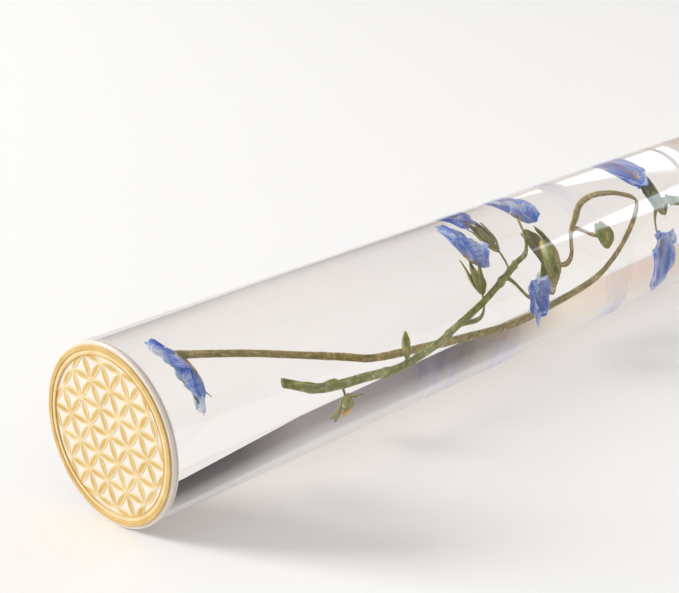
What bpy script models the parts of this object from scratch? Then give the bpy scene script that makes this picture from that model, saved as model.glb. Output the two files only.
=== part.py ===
"""A slim kaleidoscope: a clear oil-filled flower chamber that turns on the front of a mirror barrel.

The tube lies along +X on the plane z = 0, with the gold rosette at its -X end and the
eyepiece at its +X end. Three empties carry the three moving groups. Inside them, local Z is
the distance from the rosette, local Y is across and local -X is up, so every turned piece is
a profile around local Z.
"""

import math
from collections import namedtuple

import bmesh
import bpy
from mathutils import Matrix, Vector

# ---- Driving sizes, in metres -------------------------------------------------------------
TUBE_DIAMETER = 0.0200        # chamber, barrel and fittings all share it, so it lies straight
CHAMBER_LENGTH = 0.1300
CHAMBER_WALL = 0.0020
BARREL_WALL = 0.0013
MIRROR_LENGTH = 0.0640
MIRROR_THICKNESS = 0.0011

FIT = 0.0003                  # free clearance between neighbours
BOND_LINE = 0.0001            # glue line, and the play of a face that bears on another
RUNNING_FIT = 0.00008         # radial clearance of the turning journal in its bush

FOIL_THICKNESS = 0.0002
RING_MARGIN = 0.0004          # frosted rim left outside the rosette's ring
RING_WIDTH = 0.0012
RING_CELLS = 3                # lattice cells from the rosette's middle to its ring
DISC_THICKNESS = 0.0004
FRONT_PLUG_LENGTH = 0.0030
REAR_PLUG_LENGTH = 0.0060
SEAL_CORD = 0.0012            # O-ring cord
SEAL_GROOVE_DEPTH = 0.0010
FILLER_HOLE = 0.0030
FILLER_SETBACK = 0.0060       # from the rear plug to the filler hole's middle

COLLAR_SPIGOT_LENGTH = 0.0040
COLLAR_GRIP_LENGTH = 0.0090
LIGHT_BORE = 0.0116           # clear way through collar and fittings
JOURNAL_WALL = 0.0014
BUSH_LENGTH = 0.0060
WASHER_THICKNESS = 0.0005
CLIP_THICKNESS = 0.0008
CLIP_GROOVE_DEPTH = 0.0004
CLIP_REACH = 0.0007           # how far the clip stands out of the journal
CLIP_OPENING = math.radians(36)
JOURNAL_LAND = 0.0008

WINDOW_THICKNESS = 0.0012
HOLDER_LENGTH = 0.0040
HOLDER_WALL = 0.0008          # least wall of a mirror holder, at the prism's corners
CARD_THICKNESS = 0.0004

EYEPIECE_SPIGOT_LENGTH = 0.0060
EYEPIECE_FLANGE_LENGTH = 0.0090
EYEPIECE_LIGHT_BORE = 0.0090
LENS_DIAMETER = 0.0134
LENS_EDGE = 0.0014
LENS_CROWN = 0.0012
LENS_SEAT_DEPTH = 0.0068      # from the housing's rear face
LENS_RING_LENGTH = 0.0015
LENS_RING_WALL = 0.0018
CAP_THICKNESS = 0.0035
CAP_SPIGOT_LENGTH = 0.0020
CAP_EDGE_ROUND = 0.0010
PEEPHOLE = 0.0070
SCREW_DIAMETER = 0.0020
SCREW_SINK = 0.0002           # how far a set screw stays below the barrel's surface
SCREW_COUNT = 3

LONG_STEM_DIAMETER = 0.0008
CUT_STEM_DIAMETER = 0.0009
PEDICEL_DIAMETER = 0.0006
STALK_LEAD = 0.0012           # the last of a pedicel runs straight into its head
PETAL_THICKNESS = 0.0005
CALYX_LENGTH = 0.0020
CALYX_MOUTH = 0.0022          # across
DRIFT = 0.0015                # how far the sprigs float each way; nothing is nearer a plug

ROUND = 40                    # sides of a turned piece
FINE_ROUND = 24               # sides of a small turned piece
DRAWN_SCALE = 1000            # how much larger a flat outline is drawn before it is scaled back

# ---- Sizes that follow ----------------------------------------------------------------------
OUTER_R = TUBE_DIAMETER / 2
BORE_R = OUTER_R - CHAMBER_WALL
BARREL_R = OUTER_R - BARREL_WALL
JOURNAL_R = LIGHT_BORE / 2 + JOURNAL_WALL

DISC_FRONT = FOIL_THICKNESS + BOND_LINE
CHAMBER_FRONT = DISC_FRONT + DISC_THICKNESS + BOND_LINE
CHAMBER_REAR = CHAMBER_FRONT + CHAMBER_LENGTH
ROOM_FRONT = CHAMBER_FRONT + FRONT_PLUG_LENGTH
REAR_PLUG_REAR = CHAMBER_REAR - COLLAR_SPIGOT_LENGTH - FIT
ROOM_REAR = REAR_PLUG_REAR - REAR_PLUG_LENGTH

GRIP_FRONT = CHAMBER_REAR + BOND_LINE
GRIP_REAR = GRIP_FRONT + COLLAR_GRIP_LENGTH
BARREL_FRONT = GRIP_REAR + WASHER_THICKNESS + 2 * BOND_LINE
CLIP_FRONT = BARREL_FRONT + BUSH_LENGTH + BOND_LINE
JOURNAL_REAR = CLIP_FRONT + CLIP_THICKNESS + BOND_LINE + JOURNAL_LAND
WINDOW_FRONT = JOURNAL_REAR + 2 * FIT
HOLDER_FRONT = WINDOW_FRONT + WINDOW_THICKNESS + FIT
MIRROR_FRONT = HOLDER_FRONT + FIT
MIRROR_REAR = MIRROR_FRONT + MIRROR_LENGTH
EYEPIECE_FRONT = MIRROR_REAR + 2 * FIT
BARREL_REAR = EYEPIECE_FRONT + EYEPIECE_SPIGOT_LENGTH
FLANGE_FRONT = BARREL_REAR + BOND_LINE
FLANGE_REAR = FLANGE_FRONT + EYEPIECE_FLANGE_LENGTH
CAP_FRONT = FLANGE_REAR + BOND_LINE
TOTAL_LENGTH = CAP_FRONT + CAP_THICKNESS

Head = namedtuple("Head", "name along across up radius facing stem joins")

# Stems run through points given as shares: along the chamber's room from the front plug,
# then across and up as shares of the room's free radius.
LONG_STEM = (
    (0.072, 0.20, 0.25), (0.082, 0.12, 0.16), (0.160, 0.02, 0.02), (0.221, -0.05, -0.12),
    (0.260, -0.06, -0.23), (0.337, -0.05, -0.32), (0.383, -0.05, -0.36), (0.477, -0.06, -0.42),
    (0.563, -0.08, -0.38), (0.634, -0.09, -0.31), (0.672, -0.08, -0.21), (0.703, -0.04, -0.10),
    (0.740, 0.04, 0.05), (0.762, 0.14, 0.16), (0.744, 0.23, 0.22), (0.722, 0.28, 0.25),
    (0.695, 0.31, 0.25), (0.666, 0.27, 0.24), (0.640, 0.17, 0.19), (0.620, 0.10, 0.12),
    (0.607, 0.02, -0.02),
)
CUT_STEM = (
    (0.128, -0.24, -0.03), (0.166, -0.29, -0.19), (0.199, -0.30, -0.25), (0.236, -0.31, -0.28),
    (0.280, -0.33, -0.32), (0.312, -0.33, -0.29), (0.344, -0.33, -0.24), (0.379, -0.30, -0.15),
    (0.416, -0.27, -0.06), (0.439, -0.24, 0.00), (0.471, -0.18, 0.09), (0.500, -0.12, 0.17),
)
REAR_STEM = (
    (0.823, 0.12, 0.04), (0.859, 0.06, -0.02), (0.905, -0.04, -0.10), (0.957, -0.10, -0.22),
)

# Flower heads: where each sits (as above, of the radius left round the head), how wide it is,
# which way it faces (along, across, up), and the stem point that its stalk grows from.
BLOSSOMS = (
    Head("blossom_front", 0.031, 0.40, 0.26, 0.0035, (-0.84, 0.05, -0.52), "long_stem", 0),
    Head("blossom_left", 0.438, 0.03, 0.52, 0.0034, (0.05, 0.25, 0.95), "cut_stem", 7),
    Head("blossom_top", 0.492, 0.70, 0.58, 0.0031, (-0.40, 0.35, 0.85), "cut_stem", 10),
    Head("blossom_back", 0.560, 0.51, 0.44, 0.0031, (0.45, 0.20, 0.87), "cut_stem", 11),
    Head("blossom_low", 0.508, -0.50, -0.28, 0.0030, (0.30, -0.94, 0.15), "cut_stem", 10),
    Head("blossom_rear", 0.802, 0.56, 0.28, 0.0034, (-0.45, 0.10, 0.88), "rear_stem", 0),
    Head("blossom_rear_low", 0.776, -0.14, -0.28, 0.0032, (-0.10, -0.88, -0.45), "rear_stem", 0),
)
CALYX_HEADS = (
    Head("calyx_star", 0.209, -0.30, -0.60, 0.0013, (0.10, -0.30, -0.90), "cut_stem", 1),
    Head("calyx_leafy", 0.566, 0.01, -0.02, 0.0018, (-0.85, 0.00, 0.35), "long_stem", 20),
)
BUDS = (
    Head("bud_upright", 0.297, -0.37, -0.10, 0.0006, (0.15, -0.05, 1.00), "cut_stem", 4),
    Head("bud_curled", 0.675, 0.00, 0.03, 0.0009, (0.98, -0.10, 0.00), "long_stem", 19),
)
WITH_CALYX = ("blossom_front", "blossom_left", "blossom_top", "blossom_rear")

# ---- Finishes: colour, metallic, roughness ---------------------------------------------------
FINISHES = {
    "clear_acrylic": ((0.93, 0.93, 0.92, 0.3), 0.0, 0.03),
    "frosted_acrylic": ((0.86, 0.80, 0.76, 1.0), 0.0, 0.55),
    "gold_print": ((0.65, 0.42, 0.08, 1.0), 0.6, 0.35),
    "gold_aluminium": ((0.72, 0.52, 0.25, 1.0), 1.0, 0.30),
    "bearing_polymer": ((0.85, 0.84, 0.80, 1.0), 0.0, 0.45),
    "spring_steel": ((0.45, 0.45, 0.47, 1.0), 1.0, 0.30),
    "seal_rubber": ((0.03, 0.03, 0.03, 1.0), 0.0, 0.60),
    "mirror_glass": ((0.85, 0.87, 0.88, 1.0), 1.0, 0.02),
    "black_card": ((0.02, 0.02, 0.02, 1.0), 0.0, 0.90),
    "black_acetal": ((0.03, 0.03, 0.03, 1.0), 0.0, 0.45),
    "petal_blue": ((0.10, 0.18, 0.58, 1.0), 0.0, 0.60),
    "stem_green": ((0.14, 0.16, 0.04, 1.0), 0.0, 0.60),
    "calyx_green": ((0.10, 0.16, 0.05, 1.0), 0.0, 0.60),
}


# ---- Shared modelling steps -------------------------------------------------------------------
def clear_scene():
    for obj in list(bpy.data.objects):
        bpy.data.objects.remove(obj, do_unlink=True)


def new_collection(name):
    collection = bpy.data.collections.new(name)
    bpy.context.scene.collection.children.link(collection)
    return collection


def new_axis(name, collection, drawn_length):
    """An empty on the tube's axis at the rosette's face, with local Z pointing to the eyepiece."""
    axis = bpy.data.objects.new(name, None)
    axis.empty_display_type = "SINGLE_ARROW"
    axis.empty_display_size = drawn_length
    axis.location = (-TOTAL_LENGTH / 2, 0, OUTER_R)
    axis.rotation_euler = (0, math.pi / 2, 0)
    collection.objects.link(axis)
    return axis


def finish(name):
    """The named finish as a Principled material, made on first use."""
    material = bpy.data.materials.get(name)
    if material is None:
        colour, metallic, roughness = FINISHES[name]
        material = bpy.data.materials.new(name)
        material.use_nodes = True
        material.diffuse_color = colour
        shader = material.node_tree.nodes["Principled BSDF"]
        shader.inputs["Base Color"].default_value = colour
        shader.inputs["Metallic"].default_value = metallic
        shader.inputs["Roughness"].default_value = roughness
    return material


class Bench:
    """Makes the objects of one moving group, all parented to its axis."""

    def __init__(self, pieces, cutters, axis):
        self.pieces = pieces
        self.cutters = cutters
        self.axis = axis

    def add(self, name, data, material):
        piece = bpy.data.objects.new(name, data)
        piece.parent = self.axis
        self.pieces.objects.link(piece)
        data.materials.append(finish(material))
        return piece

    def as_cutter(self, piece):
        """Moves a piece to the cutters, where it shapes other pieces and isn't one itself."""
        self.pieces.objects.unlink(piece)
        self.cutters.objects.link(piece)
        piece.hide_render = True
        piece.display_type = "WIRE"
        return piece

    def turned(self, name, outline, material, sides=ROUND):
        """A piece turned round local Z from (station, radius) points down its outer side.

        An outline that starts and ends on the axis stays open; any other is closed.
        """
        solid_core = outline[0][1] == 0
        points = [(radius, 0, station) for station, radius in outline]
        edges = [(i, i + 1) for i in range(len(points) - 1)]
        if not solid_core:
            edges.append((len(points) - 1, 0))
        mesh = bpy.data.meshes.new(name)
        mesh.from_pydata(points, edges, [])
        piece = self.add(name, mesh, material)
        screw = piece.modifiers.new("turn", "SCREW")
        screw.axis = "Z"
        screw.steps = screw.render_steps = sides
        screw.use_merge_vertices = True
        screw.merge_threshold = 1e-6
        screw.use_smooth_shade = True
        return piece

    def ring(self, name, front, rear, outer, inner, material, sides=ROUND):
        outline = ((rear, outer), (front, outer), (front, inner), (rear, inner))
        return self.turned(name, outline, material, sides)

    def disc(self, name, front, rear, radius, material):
        return self.turned(name, ((rear, 0), (rear, radius), (front, radius), (front, 0)), material)

    def plate(self, name, outlines, front, rear, material):
        """A flat piece from closed outlines, where an outline inside another is a hole.

        It is drawn enlarged and scaled back, because a curve's fill merges points that lie
        within 0.03 mm of an edge.
        """
        curve = bpy.data.curves.new(name, "CURVE")
        curve.dimensions = "2D"
        curve.fill_mode = "BOTH"
        for outline in outlines:
            spline = curve.splines.new("POLY")
            spline.points.add(len(outline) - 1)
            spline.use_cyclic_u = True
            for point, (x, y) in zip(spline.points, outline):
                point.co = (DRAWN_SCALE * x, DRAWN_SCALE * y, 0, 1)
        mesh = welded_mesh(self.add(name, curve, material))
        mesh.transform(Matrix.Scale(1 / DRAWN_SCALE, 4))
        piece = self.add(name, mesh, material)
        piece.location.z = (front + rear) / 2
        wall = piece.modifiers.new("thickness", "SOLIDIFY")
        wall.thickness = rear - front
        wall.offset = 0
        return piece

    def peg(self, name, station, angle, inner, outer, radius, material):
        """A round peg that points outwards at this station, between two distances from the axis."""
        mesh = bpy.data.meshes.new(name)
        shape = bmesh.new()
        bmesh.ops.create_cone(shape, cap_ends=True, segments=FINE_ROUND, radius1=radius,
                              radius2=radius, depth=outer - inner)
        shape.to_mesh(mesh)
        shape.free()
        piece = self.add(name, mesh, material)
        outwards = Vector((math.cos(angle), math.sin(angle), 0))
        piece.rotation_mode = "QUATERNION"
        piece.rotation_quaternion = outwards.to_track_quat("Z", "Y")
        piece.location = outwards * (inner + outer) / 2 + Vector((0, 0, station))
        return piece


def welded_mesh(guide):
    """The mesh of a curve object, with loose faces welded on. The curve is removed."""
    name = guide.name
    bpy.context.view_layer.update()
    graph = bpy.context.evaluated_depsgraph_get()
    mesh = bpy.data.meshes.new_from_object(guide.evaluated_get(graph))
    bpy.data.objects.remove(guide)
    mesh.name = name
    mesh.materials.clear()
    shape = bmesh.new()
    shape.from_mesh(mesh)
    bmesh.ops.remove_doubles(shape, verts=shape.verts, dist=1e-6)
    bmesh.ops.recalc_face_normals(shape, faces=shape.faces)
    shape.to_mesh(mesh)
    shape.free()
    return mesh


def cut(piece, cutter, solver="EXACT"):
    step = piece.modifiers.new("cut", "BOOLEAN")
    step.operation = "DIFFERENCE"
    step.object = cutter
    step.solver = solver


def join(piece, other):
    step = piece.modifiers.new("join", "BOOLEAN")
    step.operation = "UNION"
    step.object = other


def circle(radius, count=ROUND):
    return [(radius * math.cos(turn), radius * math.sin(turn))
            for turn in (math.tau * i / count for i in range(count))]


# ---- Gold rosette -----------------------------------------------------------------------------
ROSETTE_TILT = math.radians(6.5)
ARC_SAMPLES = (0.24, 0.50, 0.76)    # shares along a petal's edge; the tips stay joined
RING_ARC_STEPS = 8
RING_ARC_INSET = math.radians(8)


def lattice_point(column, row, pitch):
    """A point of the triangular lattice, tilted as the print is."""
    return Matrix.Rotation(math.pi / 2 + ROSETTE_TILT, 2) @ Vector(
        (pitch * (column + row / 2), pitch * row * math.sqrt(3) / 2))


def petal_edge(start, end, far):
    """Points along a petal's edge between two lattice points, on the arc centred on a third."""
    first = start - far
    last = end - far
    return [far + (first * math.sin((1 - t) * math.pi / 3) + last * math.sin(t * math.pi / 3))
            / math.sin(math.pi / 3) for t in ARC_SAMPLES]


def cell_hole(a, b, c):
    """The three-pointed gap that three petals leave in one lattice triangle."""
    outline = []
    for start, end, opposite in ((a, b, c), (b, c, a), (c, a, b)):
        outline += petal_edge(start, end, start + end - opposite)
    return outline


def rim_hole(side, pitch, inner_radius):
    """The gap between one side of the petal hexagon and the ring."""
    turn = Matrix.Rotation(side * math.pi / 3, 2)
    corner = [turn @ lattice_point(RING_CELLS - i, i, pitch) for i in range(RING_CELLS + 1)]
    outline = []
    for start, end in zip(corner, corner[1:]):
        inwards = Matrix.Rotation(math.pi / 3, 2) @ (end - start)
        outline += petal_edge(start, end, start + inwards)
    from_angle = math.atan2(corner[-1].y, corner[-1].x) - RING_ARC_INSET
    sweep = math.pi / 3 - 2 * RING_ARC_INSET
    for i in range(RING_ARC_STEPS + 1):
        angle = from_angle - sweep * i / RING_ARC_STEPS
        outline.append(Vector((math.cos(angle), math.sin(angle))) * inner_radius)
    return outline


def rosette_gaps(inner):
    """The outline of every gap inside the ring: one for each lattice triangle and each side."""
    pitch = (inner + RING_WIDTH / 2) / RING_CELLS
    outlines = []
    span = range(-RING_CELLS, RING_CELLS + 1)
    inside = {(q, r) for q in span for r in span if abs(q + r) <= RING_CELLS}
    for q, r in sorted(inside):
        for second, third in (((q + 1, r), (q, r + 1)), ((q, r + 1), (q - 1, r + 1))):
            if second in inside and third in inside:
                corners = (lattice_point(*at, pitch) for at in ((q, r), second, third))
                outlines.append(cell_hole(*corners))
    return outlines + [rim_hole(side, pitch, inner) for side in range(6)]


def build_rosette(bench):
    """Ring and petals as one foil: a disc with the gaps between the petals cut out."""
    outer = OUTER_R - RING_MARGIN
    foil = bench.disc("gold_rosette", 0, FOIL_THICKNESS, outer, "gold_print")
    gaps = bench.plate("rosette_gaps", rosette_gaps(outer - RING_WIDTH), -FIT,
                       FOIL_THICKNESS + FIT, "gold_print")
    cut(foil, bench.as_cutter(gaps), "MANIFOLD")


# ---- Chamber ----------------------------------------------------------------------------------
def build_chamber(bench):
    tube = bench.ring("chamber_tube", CHAMBER_FRONT, CHAMBER_REAR, OUTER_R, BORE_R,
                      "clear_acrylic")
    build_rosette(bench)
    bench.disc("diffuser_disc", DISC_FRONT, DISC_FRONT + DISC_THICKNESS, OUTER_R - BOND_LINE,
               "frosted_acrylic")
    plug_r = BORE_R - BOND_LINE
    bench.disc("front_plug", CHAMBER_FRONT, ROOM_FRONT, plug_r, "clear_acrylic")
    build_rear_plug(bench, plug_r)
    build_filler(bench, tube)
    build_collar(bench)


def build_rear_plug(bench, plug_r):
    """A thick clear plug, with a groove for the O-ring that holds the oil in."""
    middle = (ROOM_REAR + REAR_PLUG_REAR) / 2
    floor_r = plug_r - SEAL_GROOVE_DEPTH
    half = SEAL_CORD / 2 + BOND_LINE
    bench.turned("rear_plug", (
        (REAR_PLUG_REAR, 0), (REAR_PLUG_REAR, plug_r), (middle + half, plug_r),
        (middle + half, floor_r), (middle - half, floor_r), (middle - half, plug_r),
        (ROOM_REAR, plug_r), (ROOM_REAR, 0)), "clear_acrylic")
    seal_r = floor_r + BOND_LINE + (plug_r - floor_r) / 2
    seal_half = (plug_r - floor_r) / 2 - BOND_LINE / 2
    section = [(middle + seal_half * math.sin(turn), seal_r + seal_half * math.cos(turn))
               for turn in (math.tau * i / 8 for i in range(8))]
    bench.turned("rear_plug_seal", section[::-1], "seal_rubber")


def build_filler(bench, tube):
    """The plug that closes the hole in the chamber's wall where the oil is poured in."""
    station = ROOM_REAR - FILLER_SETBACK
    hole = bench.peg("filler_hole", station, math.pi, BORE_R - 2 * FIT, OUTER_R + 2 * FIT,
                     FILLER_HOLE / 2, "clear_acrylic")
    cut(tube, bench.as_cutter(hole))
    bench.peg("filler_plug", station, math.pi, BORE_R, OUTER_R - BOND_LINE,
              FILLER_HOLE / 2 - BOND_LINE, "bearing_polymer")


def build_collar(bench):
    """The grip: a spigot bonded in the chamber, a finger ring, and the journal it turns on."""
    light_r = LIGHT_BORE / 2
    spigot_r = BORE_R - BOND_LINE
    groove_r = JOURNAL_R - CLIP_GROOVE_DEPTH
    clip_rear = CLIP_FRONT + CLIP_THICKNESS + BOND_LINE
    bench.turned("grip_collar", (
        (JOURNAL_REAR, JOURNAL_R), (clip_rear, JOURNAL_R), (clip_rear, groove_r),
        (CLIP_FRONT - BOND_LINE, groove_r), (CLIP_FRONT - BOND_LINE, JOURNAL_R),
        (GRIP_REAR, JOURNAL_R), (GRIP_REAR, OUTER_R), (GRIP_FRONT, OUTER_R),
        (GRIP_FRONT, spigot_r), (CHAMBER_REAR - COLLAR_SPIGOT_LENGTH, spigot_r),
        (CHAMBER_REAR - COLLAR_SPIGOT_LENGTH, light_r), (JOURNAL_REAR, light_r)),
        "gold_aluminium")
    build_clip(bench, groove_r + BOND_LINE, JOURNAL_R + CLIP_REACH)


def build_clip(bench, inner, outer):
    """An open spring ring in the journal's groove, behind the bush."""
    steps = 30
    start = CLIP_OPENING / 2
    sweep = math.tau - CLIP_OPENING
    turns = [start + sweep * i / steps for i in range(steps + 1)]
    outline = [(outer * math.cos(t), outer * math.sin(t)) for t in turns]
    outline += [(inner * math.cos(t), inner * math.sin(t)) for t in reversed(turns)]
    bench.plate("retaining_clip", [outline], CLIP_FRONT, CLIP_FRONT + CLIP_THICKNESS,
                "spring_steel")


# ---- Sprigs -----------------------------------------------------------------------------------
def in_room(along, across, up, free_radius):
    """A place in the chamber's room, from shares of its length and of a free radius."""
    front = ROOM_FRONT + DRIFT
    rear = ROOM_REAR - DRIFT
    return Vector((-up * free_radius, across * free_radius, front + along * (rear - front)))


def local_direction(facing):
    along, across, up = facing
    return Vector((-up, across, along)).normalized()


def stem_tube(bench, name, points, diameter, material):
    """A stem as a closed tube along points, each one a corner of its path."""
    curve = bpy.data.curves.new(name, "CURVE")
    curve.dimensions = "3D"
    curve.bevel_depth = diameter / 2
    curve.bevel_resolution = 1
    curve.use_fill_caps = True
    spline = curve.splines.new("POLY")
    spline.points.add(len(points) - 1)
    for at, point in zip(spline.points, points):
        at.co = (*point, 1)
    mesh = welded_mesh(bench.add(name, curve, material))
    return bench.add(name, mesh, material)


def smooth_path(points, per_span):
    """Points on a smooth curve through the given ones (Catmull-Rom)."""
    ends = [points[0] * 2 - points[1], *points, points[-1] * 2 - points[-2]]
    path = []
    for before, start, end, after in zip(ends, ends[1:], ends[2:], ends[3:]):
        for i in range(per_span):
            t = i / per_span
            path.append(0.5 * (2 * start + (end - before) * t
                               + (2 * before - 5 * start + 4 * end - after) * t ** 2
                               + (3 * start - before - 3 * end + after) * t ** 3))
    return path + [points[-1]]


def stalk_path(root, foot, facing):
    """A pedicel that leaves the stem and comes up to a head's foot along its facing."""
    approach = foot - facing * STALK_LEAD
    return [root, root.lerp(approach, 0.6), approach, foot]


def head_solid(bench, head, centre, material, shape_of):
    """A flower head's solid, turned so that its local Z faces outwards."""
    mesh = bpy.data.meshes.new(head.name)
    shape = bmesh.new()
    shape_of(shape)
    shape.to_mesh(mesh)
    shape.free()
    piece = bench.add(head.name, mesh, material)
    piece.rotation_mode = "QUATERNION"
    piece.rotation_quaternion = local_direction(head.facing).to_track_quat("Z", "Y")
    piece.location = centre
    return piece


def petal_star(radius):
    """Fills a bmesh with a flat disc of five lobes and five notches."""
    def fill(shape):
        bmesh.ops.create_cone(shape, cap_ends=True, segments=10, radius1=radius,
                              radius2=radius, depth=PETAL_THICKNESS)
        for vert in shape.verts:
            notch = round(math.atan2(vert.co.y, vert.co.x) / (math.tau / 10)) % 2
            if notch:
                vert.co.x *= 0.6
                vert.co.y *= 0.6
    return fill


def calyx_cup(mouth_radius, length):
    def fill(shape):
        bmesh.ops.create_cone(shape, cap_ends=True, segments=8, radius1=mouth_radius * 0.4,
                              radius2=mouth_radius, depth=length)
    return fill


def bud_ball(radius):
    def fill(shape):
        bmesh.ops.create_uvsphere(shape, u_segments=8, v_segments=6, radius=radius)
        bmesh.ops.scale(shape, vec=(1, 1, 1.5), verts=shape.verts)
    return fill


def build_heads(bench):
    """Every flower head, and for each stem the pedicels that carry its heads."""
    stalks = {"long_stem": [], "cut_stem": [], "rear_stem": []}
    for head in BLOSSOMS:
        centre = in_room(head.along, head.across, head.up, BORE_R - head.radius - FIT)
        facing = local_direction(head.facing)
        head_solid(bench, head, centre, "petal_blue", petal_star(head.radius))
        foot = centre - facing * (PETAL_THICKNESS / 2 + FIT)
        if head.name in WITH_CALYX:
            cup = head._replace(name=head.name.replace("blossom", "calyx"))
            head_solid(bench, cup, foot - facing * CALYX_LENGTH / 2, "calyx_green",
                       calyx_cup(CALYX_MOUTH / 2, CALYX_LENGTH))
            foot = foot - facing * (CALYX_LENGTH + FIT)
        stalks[head.stem].append((head.joins, foot, facing))
    for head in CALYX_HEADS + BUDS:
        centre = in_room(head.along, head.across, head.up, BORE_R - head.radius - FIT)
        facing = local_direction(head.facing)
        if head in BUDS:
            half = head.radius * 1.5
            head_solid(bench, head, centre, "calyx_green", bud_ball(head.radius))
        else:
            half = CALYX_LENGTH / 2
            head_solid(bench, head, centre, "calyx_green", calyx_cup(head.radius, CALYX_LENGTH))
        stalks[head.stem].append((head.joins, centre - facing * (half + FIT), facing))
    return stalks


def build_stem(bench, name, shares, diameter, stalks):
    free = BORE_R - diameter / 2 - FIT
    points = [in_room(*share, free) for share in shares]
    stem = stem_tube(bench, name, smooth_path(points, 2), diameter, "stem_green")
    for count, (joins, foot, facing) in enumerate(stalks):
        path = smooth_path(stalk_path(points[joins], foot, facing), 2)
        stalk = stem_tube(bench, f"{name}_stalk_{count}", path, PEDICEL_DIAMETER, "stem_green")
        join(stem, bench.as_cutter(stalk))


def build_sprigs(bench):
    stalks = build_heads(bench)
    build_stem(bench, "long_stem", LONG_STEM, LONG_STEM_DIAMETER, stalks["long_stem"])
    build_stem(bench, "cut_stem", CUT_STEM, CUT_STEM_DIAMETER, stalks["cut_stem"])
    build_stem(bench, "rear_stem", REAR_STEM, CUT_STEM_DIAMETER, stalks["rear_stem"])


# ---- Barrel -----------------------------------------------------------------------------------
def build_barrel(bench):
    tube = bench.ring("barrel_tube", BARREL_FRONT, BARREL_REAR, OUTER_R, BARREL_R,
                      "gold_aluminium")
    inner_r = JOURNAL_R + RUNNING_FIT
    bench.ring("bearing_bush", BARREL_FRONT, BARREL_FRONT + BUSH_LENGTH, BARREL_R - BOND_LINE,
               inner_r, "bearing_polymer")
    bench.ring("thrust_washer", GRIP_REAR + BOND_LINE, BARREL_FRONT - BOND_LINE,
               OUTER_R - FIT, JOURNAL_R + FIT, "bearing_polymer")
    bench.disc("barrel_window", WINDOW_FRONT, WINDOW_FRONT + WINDOW_THICKNESS,
               BARREL_R - BOND_LINE, "clear_acrylic")
    build_mirrors(bench)
    build_eyepiece(bench, tube)


def mirror_apothem(corner_radius):
    """The distance from the axis to each mirror's face, for strips whose outer corners reach
    this radius and whose edges meet but for a clearance."""
    edge = FIT / 2
    linear = 2 * MIRROR_THICKNESS - 2 * math.sqrt(3) * edge
    constant = MIRROR_THICKNESS ** 2 + edge ** 2 - corner_radius ** 2
    return (-linear + math.sqrt(linear ** 2 - 16 * constant)) / 8


def prism_outline(apothem, half_width, spread):
    """The six-sided outline round three mirrors, spread outwards by a clearance."""
    outline = []
    for i in range(3):
        turn = Matrix.Rotation(i * math.tau / 3, 2)
        outer = apothem + MIRROR_THICKNESS + spread
        outline += [turn @ Vector((outer, side * (half_width + spread / 2))) for side in (-1, 1)]
    return outline


def build_mirrors(bench):
    """Three mirror strips, the card folded round them, and a holder at each end."""
    apothem = mirror_apothem(BARREL_R - BOND_LINE - HOLDER_WALL - FIT)
    half_width = math.sqrt(3) * apothem - FIT / 2
    for i in range(3):
        name = f"mirror_{i + 1}"
        mesh = bpy.data.meshes.new(name)
        shape = bmesh.new()
        bmesh.ops.create_cube(shape, size=1)
        bmesh.ops.scale(shape, vec=(MIRROR_THICKNESS, 2 * half_width, MIRROR_LENGTH),
                        verts=shape.verts)
        shape.to_mesh(mesh)
        shape.free()
        strip = bench.add(name, mesh, "mirror_glass")
        turn = i * math.tau / 3
        out = apothem + MIRROR_THICKNESS / 2
        strip.rotation_euler.z = turn
        strip.location = (out * math.cos(turn), out * math.sin(turn),
                          (MIRROR_FRONT + MIRROR_REAR) / 2)
    pocket = prism_outline(apothem, half_width, FIT / 2)
    rim = circle(BARREL_R - BOND_LINE)
    holders = (("front_mirror_holder", HOLDER_FRONT),
               ("rear_mirror_holder", MIRROR_REAR + FIT - HOLDER_LENGTH))
    for name, front in holders:
        bench.plate(name, [rim, pocket], front, front + HOLDER_LENGTH, "black_acetal")
    card = prism_outline(apothem, half_width, FIT / 2 + CARD_THICKNESS)
    bench.plate("mirror_card", [card, pocket], HOLDER_FRONT + HOLDER_LENGTH + FIT,
                holders[1][1] - FIT, "black_card")


def build_eyepiece(bench, barrel_tube):
    """The housing with its lens, ring and cap, held in the barrel by set screws."""
    light_r = EYEPIECE_LIGHT_BORE / 2
    seat_r = LENS_DIAMETER / 2 + FIT / 2
    seat = FLANGE_REAR - LENS_SEAT_DEPTH
    spigot_r = BARREL_R - BOND_LINE
    housing = bench.turned("eyepiece_housing", (
        (FLANGE_REAR, OUTER_R), (FLANGE_FRONT, OUTER_R), (FLANGE_FRONT, spigot_r),
        (EYEPIECE_FRONT, spigot_r), (EYEPIECE_FRONT, light_r), (seat, light_r),
        (seat, seat_r), (FLANGE_REAR, seat_r)), "gold_aluminium")
    build_screws(bench, housing, barrel_tube, light_r)
    build_lens(bench, seat + BOND_LINE)
    ring_r = seat_r - BOND_LINE
    ring_inner_r = ring_r - LENS_RING_WALL
    ring_front = seat + BOND_LINE + LENS_EDGE + crown_height(ring_inner_r) + FIT
    bench.ring("lens_ring", ring_front, ring_front + LENS_RING_LENGTH, ring_r, ring_inner_r,
               "black_acetal")
    build_cap(bench, ring_r)


def build_screws(bench, housing, barrel_tube, light_r):
    station = (EYEPIECE_FRONT + BARREL_REAR) / 2
    for i in range(SCREW_COUNT):
        angle = math.pi + i * math.tau / SCREW_COUNT
        hole = bench.peg(f"screw_hole_{i + 1}", station, angle, light_r + 4 * FIT,
                         OUTER_R + 2 * FIT, SCREW_DIAMETER / 2, "spring_steel")
        bench.as_cutter(hole)
        cut(housing, hole)
        cut(barrel_tube, hole)
        bench.peg(f"set_screw_{i + 1}", station, angle, light_r + 5 * FIT,
                  OUTER_R - SCREW_SINK, SCREW_DIAMETER / 2 - BOND_LINE, "spring_steel")


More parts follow.
